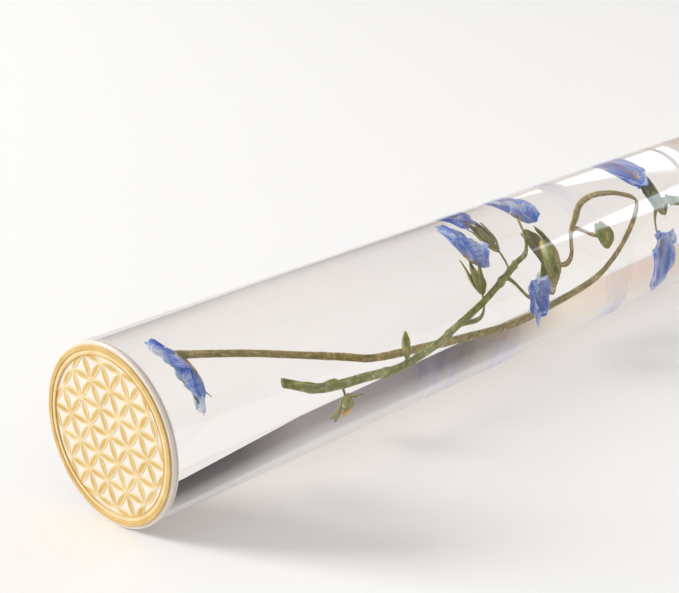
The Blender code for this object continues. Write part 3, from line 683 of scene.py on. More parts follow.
def stalk(name: str, path: Sequence[Vector], radius_at: Callable[[float], float],
          sides: int = 12) -> bpy.types.Mesh:
    """A closed round stalk along a path.

    Args:
        name: The mesh's name.
        path: Points that the stalk's middle runs through.
        radius_at: Its radius at a share of its length.
        sides: How many sides its round has.

    Returns:
        The mesh, with U along it in millimetres and V round it.
    """
    shape = bmesh.new()
    layer = shape.loops.layers.uv.new("UVMap")
    normal = (path[1] - path[0]).orthogonal().normalized()
    travelled = [0.0]
    for start, end in zip(path, path[1:]):
        travelled.append(travelled[-1] + (end - start).length)
    rings = []
    for i, point in enumerate(path):
        ahead = (path[min(i + 1, len(path) - 1)] - path[max(i - 1, 0)]).normalized()
        normal = (normal - ahead * normal.dot(ahead)).normalized()
        side = ahead.cross(normal)
        radius = radius_at(travelled[i] / travelled[-1])
        rings.append([shape.verts.new(point + (normal * math.cos(t) + side * math.sin(t)) * radius)
                      for t in (math.tau * k / sides for k in range(sides))])
    for i, (ring, following) in enumerate(zip(rings, rings[1:])):
        for k in range(sides):
            j = (k + 1) % sides
            face = shape.faces.new((ring[k], ring[j], following[j], following[k]))
            places = ((i, k), (i, k + 1), (i + 1, k + 1), (i + 1, k))
            for loop, (row, column) in zip(face.loops, places):
                loop[layer].uv = (travelled[row] / MM, column / sides)
    for ring, end in ((rings[0], path[0]), (rings[-1], path[-1])):
        tip = shape.verts.new(end)
        for k in range(sides):
            shape.faces.new((ring[k], ring[(k + 1) % sides], tip))
    bmesh.ops.recalc_face_normals(shape, faces=shape.faces)
    mesh = bpy.data.meshes.new(name)
    shape.to_mesh(mesh)
    shape.free()
    smooth(mesh)
    return mesh


def merged(name: str, meshes: Sequence[bpy.types.Mesh], finish: Finish) -> bpy.types.Object:
    """Several meshes as one piece in one finish."""
    shape = bmesh.new()
    for mesh in meshes:
        shape.from_mesh(mesh)
    for face in shape.faces:
        face.material_index = 0
    mesh = bpy.data.meshes.new(name)
    shape.to_mesh(mesh)
    shape.free()
    mesh.materials.append(finish.material())
    return new_object(name, mesh)


def ruffled(mesh: bpy.types.Mesh, amount: float, wavelength: float, seed: float,
            still: float = 0.0) -> None:
    """Crumples a mesh by smooth noise; nothing within still of the origin moves much."""
    for vertex in mesh.vertices:
        share = min(1.0, vertex.co.length / still) ** 2 if still else 1.0
        push = noise.noise_vector(vertex.co / wavelength + Vector((seed * 7.31, seed, -seed)))
        vertex.co += push * amount * share


# ---- Geometry node trees ----------------------------------------------------------------------
def new_tree(name: str, takes: dict[str, str]) -> tuple[bpy.types.NodeTree, bpy.types.Node]:
    """An empty geometry tree with these named inputs, and its input node."""
    tree = bpy.data.node_groups.new(name, "GeometryNodeTree")
    for label, kind in takes.items():
        tree.interface.new_socket(name=label, in_out="INPUT", socket_type=kind)
    tree.interface.new_socket(name="Geometry", in_out="OUTPUT", socket_type="NodeSocketGeometry")
    return tree, add_node(tree, "NodeGroupInput")


def end_tree(tree: bpy.types.NodeTree, copies: Sequence[bpy.types.NodeSocket],
             finish: bpy.types.NodeSocket) -> None:
    """Makes the copies real, gives them their finish and shows them as the tree's result."""
    together = add_node(tree, "GeometryNodeJoinGeometry")
    for each in copies:
        tree.links.new(each, together.inputs["Geometry"])
    real = add_node(tree, "GeometryNodeRealizeInstances", inputs={
        "Geometry": together.outputs["Geometry"]})
    dressed = add_node(tree, "GeometryNodeSetMaterial", inputs={
        "Geometry": real.outputs["Geometry"], "Material": finish})
    add_node(tree, "NodeGroupOutput", inputs={"Geometry": dressed.outputs["Geometry"]})


def grown(tree: bpy.types.NodeTree, values: dict, base: bpy.types.Mesh | None = None) -> bpy.types.Mesh:
    """Runs a geometry tree once.

    Args:
        tree: The tree.
        values: Its inputs by name; a finish stands for its material.
        base: The mesh that the tree starts from, if it takes one.

    Returns:
        The result as a plain mesh.
    """
    grower = bpy.data.objects.new("grower", base or bpy.data.meshes.new("grower"))
    bpy.context.scene.collection.objects.link(grower)
    step = grower.modifiers.new("grow", "NODES")
    step.node_group = tree
    for socket in tree.interface.items_tree:
        if socket.in_out == "INPUT" and socket.name in values:
            value = values[socket.name]
            step[socket.identifier] = value.material() if isinstance(value, Finish) else value
    settled(grower)
    mesh = grower.data
    bpy.data.objects.remove(grower)
    return mesh


def random_node(tree: bpy.types.NodeTree, given: bpy.types.Node, low: object, high: object,
                channel: int) -> bpy.types.NodeSocket:
    """A random number for each copy, between low and high, from the tree's own seed."""
    seed = add_node(tree, "ShaderNodeMath", {"operation": "ADD"}, {
        0: given.outputs["Seed"], 1: 17.0 * channel})
    return add_node(tree, "FunctionNodeRandomValue", {"data_type": "FLOAT"}, {
        RANDOM_MIN: low, RANDOM_MAX: high, "Seed": seed.outputs[0]}).outputs[RANDOM_VALUE]


def round_copies_tree() -> bpy.types.NodeTree:
    """Copies of a part set evenly round local Z, leaning and sized with a little chance."""
    tree, given = new_tree("copies_round_an_axis", {
        "Part": "NodeSocketObject", "Count": "NodeSocketInt", "First Turn": "NodeSocketFloat",
        "Lean": "NodeSocketFloat", "Lean Spread": "NodeSocketFloat",
        "Turn Spread": "NodeSocketFloat", "Size Spread": "NodeSocketFloat",
        "Seed": "NodeSocketInt", "Finish": "NodeSocketMaterial"})
    out = given.outputs
    points = add_node(tree, "GeometryNodePoints", inputs={"Count": out["Count"]})
    share = add_node(tree, "ShaderNodeMath", {"operation": "DIVIDE"}, {
        0: add_node(tree, "GeometryNodeInputIndex").outputs["Index"], 1: out["Count"]})
    even = add_node(tree, "ShaderNodeMath", {"operation": "MULTIPLY_ADD"}, {
        0: share.outputs[0], 1: math.tau, 2: out["First Turn"]})
    spreads = []
    for channel, label in enumerate(("Lean Spread", "Turn Spread", "Size Spread")):
        below = add_node(tree, "ShaderNodeMath", {"operation": "MULTIPLY"}, {
            0: out[label], 1: -1.0})
        spreads.append(random_node(tree, given, below.outputs[0], out[label], channel))
    turn = add_node(tree, "ShaderNodeMath", {"operation": "ADD"}, {0: even.outputs[0], 1: spreads[1]})
    lean = add_node(tree, "ShaderNodeMath", {"operation": "ADD"}, {0: out["Lean"], 1: spreads[0]})
    dip = add_node(tree, "ShaderNodeMath", {"operation": "MULTIPLY"}, {0: lean.outputs[0], 1: -1.0})
    angles = add_node(tree, "ShaderNodeCombineXYZ", inputs={
        "Y": dip.outputs[0], "Z": turn.outputs[0]})
    rotation = add_node(tree, "FunctionNodeEulerToRotation", inputs={"Euler": angles.outputs[0]})
    size = add_node(tree, "ShaderNodeMath", {"operation": "ADD"}, {0: spreads[2], 1: 1.0})
    part = add_node(tree, "GeometryNodeObjectInfo", inputs={"Object": out["Part"]})
    copies = add_node(tree, "GeometryNodeInstanceOnPoints", inputs={
        "Points": points.outputs[0], "Instance": part.outputs["Geometry"],
        "Rotation": rotation.outputs["Rotation"], "Scale": size.outputs[0]})
    end_tree(tree, [copies.outputs["Instances"]], out["Finish"])
    return tree


def lattice_tree() -> bpy.types.NodeTree:
    """Copies of a part on every side of a hexagon of triangles: overlapping circles' petals."""
    tree, given = new_tree("copies_on_a_lattice", {
        "Part": "NodeSocketObject", "Pitch": "NodeSocketFloat", "Cells": "NodeSocketInt",
        "Finish": "NodeSocketMaterial"})
    out = given.outputs

    def maths(operation: str, first: object, second: object = 0.0) -> bpy.types.NodeSocket:
        """One sum on two numbers or sockets."""
        return add_node(tree, "ShaderNodeMath", {"operation": operation},
                        {0: first, 1: second}).outputs[0]

    width = maths("ADD", maths("MULTIPLY", out["Cells"], 2.0), 1.0)
    count = maths("MULTIPLY", width, width)
    index = add_node(tree, "GeometryNodeInputIndex").outputs["Index"]
    column = maths("SUBTRACT", maths("MODULO", index, width), out["Cells"])
    row = maths("SUBTRACT", maths("FLOOR", maths("DIVIDE", maths("ADD", index, 0.5), width)),
                out["Cells"])
    part = add_node(tree, "GeometryNodeObjectInfo", inputs={"Object": out["Part"]})
    copies = []
    for step, (across, up) in enumerate(((1, 0), (0, 1), (-1, 1))):
        far_column, far_row = maths("ADD", column, across), maths("ADD", row, up)
        reach = maths("ABSOLUTE", maths("ADD", column, row))
        for edge in (far_column, far_row, maths("ADD", far_column, far_row)):
            reach = maths("MAXIMUM", reach, maths("ABSOLUTE", edge))
        inside = maths("LESS_THAN", reach, maths("ADD", out["Cells"], 0.5))
        middle_row = maths("ADD", row, up / 2)
        middle_column = maths("ADD", maths("ADD", column, across / 2), maths("MULTIPLY", middle_row, 0.5))
        middle = add_node(tree, "ShaderNodeCombineXYZ", inputs={
            "X": maths("MULTIPLY", middle_column, out["Pitch"]),
            "Y": maths("MULTIPLY", maths("MULTIPLY", middle_row, math.sqrt(3) / 2), out["Pitch"])})
        points = add_node(tree, "GeometryNodePoints", inputs={
            "Count": count, "Position": middle.outputs[0]})
        rotation = add_node(tree, "FunctionNodeEulerToRotation", inputs={
            "Euler": (0, 0, step * math.pi / 3)})
        copies.append(add_node(tree, "GeometryNodeInstanceOnPoints", inputs={
            "Points": points.outputs[0], "Selection": inside,
            "Instance": part.outputs["Geometry"],
            "Rotation": rotation.outputs["Rotation"]}).outputs["Instances"])
    end_tree(tree, copies, out["Finish"])
    return tree


def down_tree() -> bpy.types.NodeTree:
    """Fine hairs that stand on a surface, each leaning its own way."""
    tree, given = new_tree("down_on_a_surface", {
        "Surface": "NodeSocketGeometry", "Density": "NodeSocketFloat",
        "Length": "NodeSocketFloat", "Root": "NodeSocketFloat", "Lean": "NodeSocketFloat",
        "Seed": "NodeSocketInt", "Finish": "NodeSocketMaterial"})
    out = given.outputs
    spots = add_node(tree, "GeometryNodeDistributePointsOnFaces", inputs={
        "Mesh": out["Surface"], "Density": out["Density"], "Seed": out["Seed"]})
    hair = add_node(tree, "GeometryNodeMeshCone", inputs={
        "Vertices": 3, "Radius Top": 0.0, "Radius Bottom": out["Root"], "Depth": out["Length"]})
    lean = random_node(tree, given, 0.0, out["Lean"], 1)
    turn = random_node(tree, given, 0.0, math.tau, 2)
    tilt = add_node(tree, "ShaderNodeCombineXYZ", inputs={"X": lean, "Z": turn})
    by = add_node(tree, "FunctionNodeEulerToRotation", inputs={"Euler": tilt.outputs[0]})
    rotation = add_node(tree, "FunctionNodeRotateRotation", {"rotation_space": "LOCAL"}, {
        "Rotation": spots.outputs["Rotation"], "Rotate By": by.outputs["Rotation"]})
    size = random_node(tree, given, 0.5, 1.3, 3)
    copies = add_node(tree, "GeometryNodeInstanceOnPoints", inputs={
        "Points": spots.outputs["Points"], "Instance": hair.outputs["Mesh"],
        "Rotation": rotation.outputs["Rotation"], "Scale": size})
    end_tree(tree, [copies.outputs["Instances"]], out["Finish"])
    return tree


def beads_tree() -> bpy.types.NodeTree:
    """Small round beads that cling to a surface, many small and few large."""
    tree, given = new_tree("beads_on_a_surface", {
        "Surface": "NodeSocketGeometry", "Density": "NodeSocketFloat",
        "Radius": "NodeSocketFloat", "Seed": "NodeSocketInt", "Finish": "NodeSocketMaterial"})
    out = given.outputs
    spots = add_node(tree, "GeometryNodeDistributePointsOnFaces", inputs={
        "Mesh": out["Surface"], "Density": out["Density"], "Seed": out["Seed"]})
    bead = add_node(tree, "GeometryNodeMeshIcoSphere", inputs={
        "Radius": out["Radius"], "Subdivisions": 2})
    chance = random_node(tree, given, 0.0, 1.0, 1)
    size = add_node(tree, "ShaderNodeMath", {"operation": "POWER"}, {0: chance, 1: 3.0})
    grown_size = add_node(tree, "ShaderNodeMath", {"operation": "MULTIPLY_ADD"}, {
        0: size.outputs[0], 1: 0.7, 2: 0.3})
    copies = add_node(tree, "GeometryNodeInstanceOnPoints", inputs={
        "Points": spots.outputs["Points"], "Instance": bead.outputs["Mesh"],
        "Scale": grown_size.outputs[0]})
    end_tree(tree, [copies.outputs["Instances"]], out["Finish"])
    return tree


@dataclass
class Trees:
    """The geometry trees that the sub-assemblies share."""

    round_copies: bpy.types.NodeTree = field(default_factory=round_copies_tree)
    lattice: bpy.types.NodeTree = field(default_factory=lattice_tree)
    down: bpy.types.NodeTree = field(default_factory=down_tree)
    beads: bpy.types.NodeTree = field(default_factory=beads_tree)

    def ring_of(self, part: bpy.types.Mesh, count: int, finish: Finish, first: float = 0.0,
                lean: float = 0.0, spreads: tuple[float, float, float] = (0, 0, 0),
                seed: int = 0) -> bpy.types.Mesh:
        """Copies of a part round local Z.

        Args:
            part: The mesh to copy; it is used up.
            count: How many.
            finish: Their finish.
            first: Where the first one stands.
            lean: How far each is tipped up from its own +X.
            spreads: How far chance changes each one's lean, turn and size.
            seed: For that chance.

        Returns:
            All the copies as one mesh.
        """
        holder = new_object("copied_part", part)
        mesh = grown(self.round_copies, {
            "Part": holder, "Count": count, "First Turn": first, "Lean": lean,
            "Lean Spread": spreads[0], "Turn Spread": spreads[1], "Size Spread": spreads[2],
            "Seed": seed, "Finish": finish})
        bpy.data.objects.remove(holder)
        return mesh


# ---- The rosette end --------------------------------------------------------------------------
@dataclass
class RosetteEnd:
    """A frosted disc that carries a gold print: petals in a lattice inside a double ring."""

    trees: Trees
    tilt: float = math.radians(-6.5)
    cells: int = 3
    ring_width: float = 1.2 * MM
    ring_line: float = 0.16 * MM
    petal_line: float = 0.13 * MM
    fill_height: float = 0.03 * MM
    line_height: float = 0.05 * MM
    arc_steps: int = 12

    def __post_init__(self) -> None:
        """Reads the print's and the disc's stations."""
        self.foil = Span.of("gold_rosette")
        self.disc = Span.of("diffuser_disc")
        corners = [v.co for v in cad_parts["gold_rosette"].data.vertices]
        radii = [math.hypot(c.y, c.z - AXIS) for c in corners]
        self.ring_inner = self.foil.outer - self.ring_width
        self.pitch = (self.ring_inner + self.ring_width / 2) / self.cells
        LOG.info("rosette: ring %.2f mm out, pitch %.3f mm", max(radii) / MM, self.pitch / MM)

    def face(self) -> Matrix:
        """From the print's own plane, seen from outside, to the disc's front face."""
        right = Vector((0, -math.cos(self.tilt), math.sin(self.tilt)))
        up = Vector((0, math.sin(self.tilt), math.cos(self.tilt)))
        turn = Matrix((right, up, Vector((-1, 0, 0)))).transposed().to_4x4()
        return Matrix.Translation((self.foil.rear, 0, AXIS)) @ turn

    def lens(self, shrink: float) -> list[tuple[float, float]]:
        """A petal's outline: two arcs that meet at its tips, moved inwards by shrink."""
        reach = self.pitch - shrink
        drop = self.pitch * math.sqrt(3) / 2
        half_turn = math.acos(drop / reach)
        upper = [(reach * math.sin(t), reach * math.cos(t) - drop)
                 for t in (half_turn * (1 - 2 * i / self.arc_steps)
                           for i in range(self.arc_steps))]
        return upper + [(-x, -y) for x, y in upper]

    def build(self) -> None:
        """Makes the frosted disc, the petals, their outlines and the rings."""
        edge = 0.10 * MM
        film = eased(((self.foil.rear, 0), (self.foil.rear, TUBE_R - 0.01 * MM),
                      (self.disc.rear, TUBE_R - 0.01 * MM), (self.disc.rear, 0)), edge)
        seat(lathe("frosted_disc", film, FROSTED_FILM), Body.CHAMBER, "frosted_acrylic",
             "diffuser_disc")
        fill = prism("petal_fill", self.lens(self.petal_line), 0, self.fill_height)
        line = prism("petal_line", self.lens(0), 0, self.line_height,
                     self.lens(self.petal_line * 1.25))
        for name, part, finish in (("rosette_petals", fill, DEEP_GOLD),
                                   ("rosette_petal_lines", line, PALE_GOLD)):
            holder = new_object(f"{name}_part", part)
            mesh = grown(self.trees.lattice, {"Part": holder, "Pitch": self.pitch,
                                              "Cells": self.cells, "Finish": finish})
            bpy.data.objects.remove(holder)
            mesh.transform(self.face())
            seat(new_object(name, mesh), Body.CHAMBER, "gold_print", "gold_rosette")
        self.build_rings()

    def build_rings(self) -> None:
        """A pale band with a deep gold line along each side."""
        front, rear = self.foil.front, self.foil.rear
        start = self.ring_inner + 0.8 * self.ring_line
        band = (start + self.ring_line, self.foil.outer - 3.2 * self.ring_line)
        lines = (("rosette_ring_inner", start, band[0], DEEP_GOLD, 0.25),
                 ("rosette_ring_band", band[0], band[1], PALE_GOLD, 0.45),
                 ("rosette_ring_outer", band[1], self.foil.outer, DEEP_GOLD, 0.0))
        for name, inner, outer, finish, sunk in lines:
            face = front + (rear - front) * sunk
            outline = eased(((face, outer), (rear, outer), (rear, inner), (face, inner)), 0.03 * MM)
            seat(lathe(name, outline, finish), Body.CHAMBER, "gold_print")


# ---- The clear chamber ------------------------------------------------------------------------
@dataclass
class Chamber:
    """Tube, both plugs and the oil between them: one clear body, as they are to the eye."""

    polish: float = 0.35 * MM
    grip: float = 0.05 * MM        # how far the clear body closes on what is bonded in it
    bead: float = 0.14 * MM        # cement that shows where the disc is bonded on

    def __post_init__(self) -> None:
        """Reads the tube's, plugs' and collar's stations."""
        self.tube = Span.of("chamber_tube")
        self.front_plug = Span.of("front_plug")
        self.rear_plug = Span.of("rear_plug")
        self.disc = Span.of("diffuser_disc")
        self.seal = Span.of("rear_plug_seal")

    def build(self) -> None:
        """Makes the clear body, the cement line, the O-ring and the filler plug."""
        front = self.disc.front + (self.disc.rear - self.disc.front) / 2
        recess = self.rear_plug.outer - self.grip
        outer = self.tube.outer - 0.01 * MM
        rounded = eased(((front, 0), (front, outer), (self.tube.rear, outer),
                         (self.tube.rear, recess), (self.rear_plug.rear, recess),
                         (self.rear_plug.rear, 0)), self.polish)
        body = [rounded[0], (front, outer), *rounded[3:]]
        seat(lathe("clear_chamber", body, CAST_ACRYLIC), Body.CHAMBER, "clear_acrylic",
             "chamber_tube", "front_plug", "rear_plug")
        bead = ((self.disc.rear, self.tube.outer), (self.disc.rear + self.bead, self.tube.outer),
                (self.disc.rear + self.bead, outer - self.bead), (self.disc.rear, outer - self.bead))
        seat(lathe("cement_bead", bead, CEMENT), Body.CHAMBER, "clear_acrylic")
        self.build_seal()
        self.build_filler_plug()

    def build_seal(self) -> None:
        """The O-ring, round in section."""
        middle = (self.seal.front + self.seal.rear) / 2
        radius = (self.seal.outer + self.seal.inner) / 2
        half = (self.seal.rear - self.seal.front) / 2
        section = [(middle + half * math.cos(t), radius + half * math.sin(t))
                   for t in (math.tau * i / 16 for i in range(16))]
        seat(lathe("o_ring", section, BLACK_NITRILE, 96), Body.CHAMBER, "seal_rubber",
             "rear_plug_seal")

    def build_filler_plug(self) -> None:
        """A press-in plug with a screwdriver slot across its crown."""
        low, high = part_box("filler_plug")
        radius = (high.y - low.y) / 2
        slot = 0.25 * radius
        depth = 0.45 * MM
        shape = bmesh.new()
        bmesh.ops.create_cone(shape, cap_ends=True, segments=SMALL_SIDES, radius1=radius,
                              radius2=radius, depth=high.z - low.z)
        bevelled = [e for e in shape.edges if e.calc_face_angle(0) > SHARP]
        bmesh.ops.bevel(shape, geom=bevelled, offset=0.12 * MM, segments=2, affect="EDGES")
        middle = Vector(((low.x + high.x) / 2, 0, (low.z + high.z) / 2))
        bmesh.ops.translate(shape, vec=middle, verts=shape.verts)
        mesh = bpy.data.meshes.new("filler_plug_slotted")
        shape.to_mesh(mesh)
        shape.free()
        plug = new_object("filler_plug_slotted", mesh)
        mesh.materials.append(WHITE_ACETAL.material())
        bar = bmesh.new()
        bmesh.ops.create_cube(bar, size=1)
        bmesh.ops.scale(bar, vec=(slot, 3 * radius, 2 * depth), verts=bar.verts)
        bmesh.ops.translate(bar, vec=(middle.x, 0, high.z), verts=bar.verts)
        cutter_mesh = bpy.data.meshes.new("slot_cutter")
        bar.to_mesh(cutter_mesh)
        bar.free()
        drilled(plug, [new_object("slot_cutter", cutter_mesh)])
        seat(plug, Body.CHAMBER, "bearing_polymer", "filler_plug")


def drilled(piece: bpy.types.Object, cutters: Sequence[bpy.types.Object],
            keep: bool = False) -> None:
    """Cuts other shapes out of a piece for good.

    Args:
        piece: The piece to cut.
        cutters: The shapes that are taken away.
        keep: Whether the cutters are still needed afterwards.
    """
    for cutter in cutters:
        step = piece.modifiers.new("cut", "BOOLEAN")
        step.operation = "DIFFERENCE"
        step.object = cutter
    settled(piece)
    smooth(piece.data)
    if not keep:
        for cutter in cutters:
            bpy.data.objects.remove(cutter)


# ---- The sprigs -------------------------------------------------------------------------------
@dataclass(frozen=True)
class Head:
    """A flower head: its CAD node, what it stands on, and how it has dried.

    Attributes:
        node: The CAD node whose place and facing it takes.
        stands_on: The CAD node behind it.
        size: Petal length as a share of the CAD head's radius.
        open: How far the petals rise from flat.
        curl: How far their tips turn, as a share of their length.
        crumple: How far they are pushed about.
        spread: How far the sepals have opened, from an urn at 0 to a star at 1.
        style: Where a dried style ends, from the head's middle, if one shows.
        faces: Which way it faces, if it has turned from the CAD head's own axis.
        shift: How far it has settled from the CAD head's middle.
        seed: For what chance decides.
    """

    node: str
    stands_on: str
    size: float = 1.0
    open: float = math.radians(22)
    curl: float = 0.10
    crumple: float = 0.55 * MM
    spread: float = 0.0
    style: tuple[float, float, float] | None = None
    faces: tuple[float, float, float] | None = None
    shift: tuple[float, float, float] = (0.0, 0.0, 0.0)
    seed: int = 1


@dataclass(frozen=True)
class Stem:
    """A stem's route, as shares of the chamber's room, and the stalks that leave it.

    Attributes:
        node: The CAD node that it stands for.
        radius: At its thickest.
        finish: Fresh or browned.
        route: Points as (along, across, up).
        stalks: Heads by CAD node, each with the route's point that its stalk leaves.
    """

    node: str
    radius: float
    finish: Finish
    route: tuple[tuple[float, float, float], ...]
    stalks: tuple[tuple[str, int], ...]


BLOSSOMS = (
    Head("blossom_front", "calyx_front", 0.98, math.radians(28), 0.18, 0.60 * MM, seed=1,
         shift=(1.6 * MM, 0.0, 0.7 * MM)),
    Head("blossom_left", "calyx_left", 1.15, math.radians(38), 0.12, 0.55 * MM, seed=2,
         faces=(0.60, 0.10, 0.79)),
    Head("blossom_top", "calyx_top", 1.15, math.radians(42), 0.12, 0.55 * MM, seed=3),
    Head("blossom_back", "cut_stem", 1.20, math.radians(42), 0.10, 0.60 * MM, seed=4),
    Head("blossom_low", "cut_stem", 1.10, math.radians(40), 0.12, 0.55 * MM, seed=5),
    Head("blossom_rear", "calyx_rear", 1.15, math.radians(36), 0.10, 0.60 * MM, seed=6),
    Head("blossom_rear_low", "rear_stem", 1.15, math.radians(38), 0.10, 0.55 * MM, seed=7),
)
CALYCES = (
    Head("calyx_front", "long_stem", 0.85, spread=0.5, seed=11,
         style=(2.6 * MM, 0.0, -1.6 * MM), faces=(-0.80, 0.10, -0.35),
         shift=(-0.9 * MM, 0.0, -1.4 * MM)),
    Head("calyx_left", "cut_stem", 1.1, seed=12),
    Head("calyx_top", "cut_stem", 1.1, spread=0.1, seed=13),
    Head("calyx_rear", "rear_stem", 1.3, spread=0.15, seed=14),
    Head("calyx_star", "cut_stem", 1.0, spread=0.85, seed=15),
    Head("calyx_leafy", "long_stem", 1.35, spread=0.25, seed=16),
)
BUDS = (
    Head("bud_upright", "cut_stem", seed=21),
    Head("bud_curled", "long_stem", seed=22),
)
STEMS = (
    Stem("long_stem", 0.26 * MM, STEM_BROWN, (
        (0.036, 0.24, 0.36), (0.110, 0.10, 0.19), (0.160, 0.02, 0.05), (0.221, -0.05, -0.12),
        (0.260, -0.06, -0.23), (0.337, -0.05, -0.32), (0.383, -0.05, -0.36),
        (0.477, -0.06, -0.42), (0.563, -0.08, -0.38), (0.634, -0.09, -0.31),
        (0.672, -0.08, -0.21), (0.703, -0.04, -0.10), (0.740, 0.04, 0.05), (0.762, 0.14, 0.16),
        (0.744, 0.23, 0.22), (0.722, 0.28, 0.25), (0.695, 0.31, 0.25), (0.666, 0.27, 0.24),
        (0.640, 0.17, 0.19), (0.620, 0.10, 0.12), (0.607, 0.02, -0.02)),
        (("calyx_front", 0), ("calyx_leafy", 20), ("bud_curled", 19))),
    Stem("cut_stem", 0.34 * MM, STEM_GREEN, (
        (0.128, -0.24, -0.03), (0.166, -0.29, -0.19), (0.199, -0.30, -0.25),
        (0.236, -0.31, -0.28), (0.280, -0.33, -0.32), (0.312, -0.33, -0.29),
        (0.344, -0.33, -0.24), (0.379, -0.30, -0.15), (0.416, -0.27, -0.06),
        (0.439, -0.24, 0.00), (0.471, -0.18, 0.09), (0.500, -0.12, 0.17)),
        (("calyx_left", 7), ("calyx_top", 10), ("blossom_back", 11), ("blossom_low", 10),
         ("calyx_star", 1), ("bud_upright", 4))),
    Stem("rear_stem", 0.32 * MM, STEM_GREEN, (
        (0.823, 0.12, 0.04), (0.859, 0.06, -0.02), (0.905, -0.04, -0.10),
        (0.957, -0.10, -0.22)),
        (("calyx_rear", 0), ("blossom_rear_low", 0))),
)


def corners_of(node: str) -> np.ndarray:
    """A CAD node's separate corners, merged."""
    points = np.array([v.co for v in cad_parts[node].data.vertices])
    return np.unique(points.round(7), axis=0)


@dataclass(frozen=True)
class Seat:
    """Where a flower head sits: its middle, the way it faces, its reach and its half height."""

    middle: Vector
    facing: Vector
    reach: float
    half: float

    @classmethod
    def of(cls, head: Head) -> "Seat":
        """Reads a head's seat from its CAD solid: flat discs face along their thin way."""
        points = corners_of(head.node)
        middle = points.mean(axis=0)
        _, ways = np.linalg.eigh(np.cov((points - middle).T))
        flat = head.node.startswith("blossom")
        axis = ways[:, 0 if flat else 2]
        behind = corners_of(head.stands_on)
        foot = behind[np.argmin(np.linalg.norm(behind - middle, axis=1))]
        if np.dot(axis, middle - foot) < 0:
            axis = -axis
        along = (points - middle) @ axis
        turned = Vector(head.faces or axis).normalized()
        out = np.linalg.norm((points - middle) - np.outer(along, axis), axis=1)
        return cls(Vector(middle) + Vector(head.shift), turned, float(out.max()), float(along.max()))

    def matrix(self) -> Matrix:
        """From a head modelled facing local Z at the origin to its place."""
        turn = self.facing.to_track_quat("Z", "Y").to_matrix().to_4x4()
        return Matrix.Translation(self.middle) @ turn


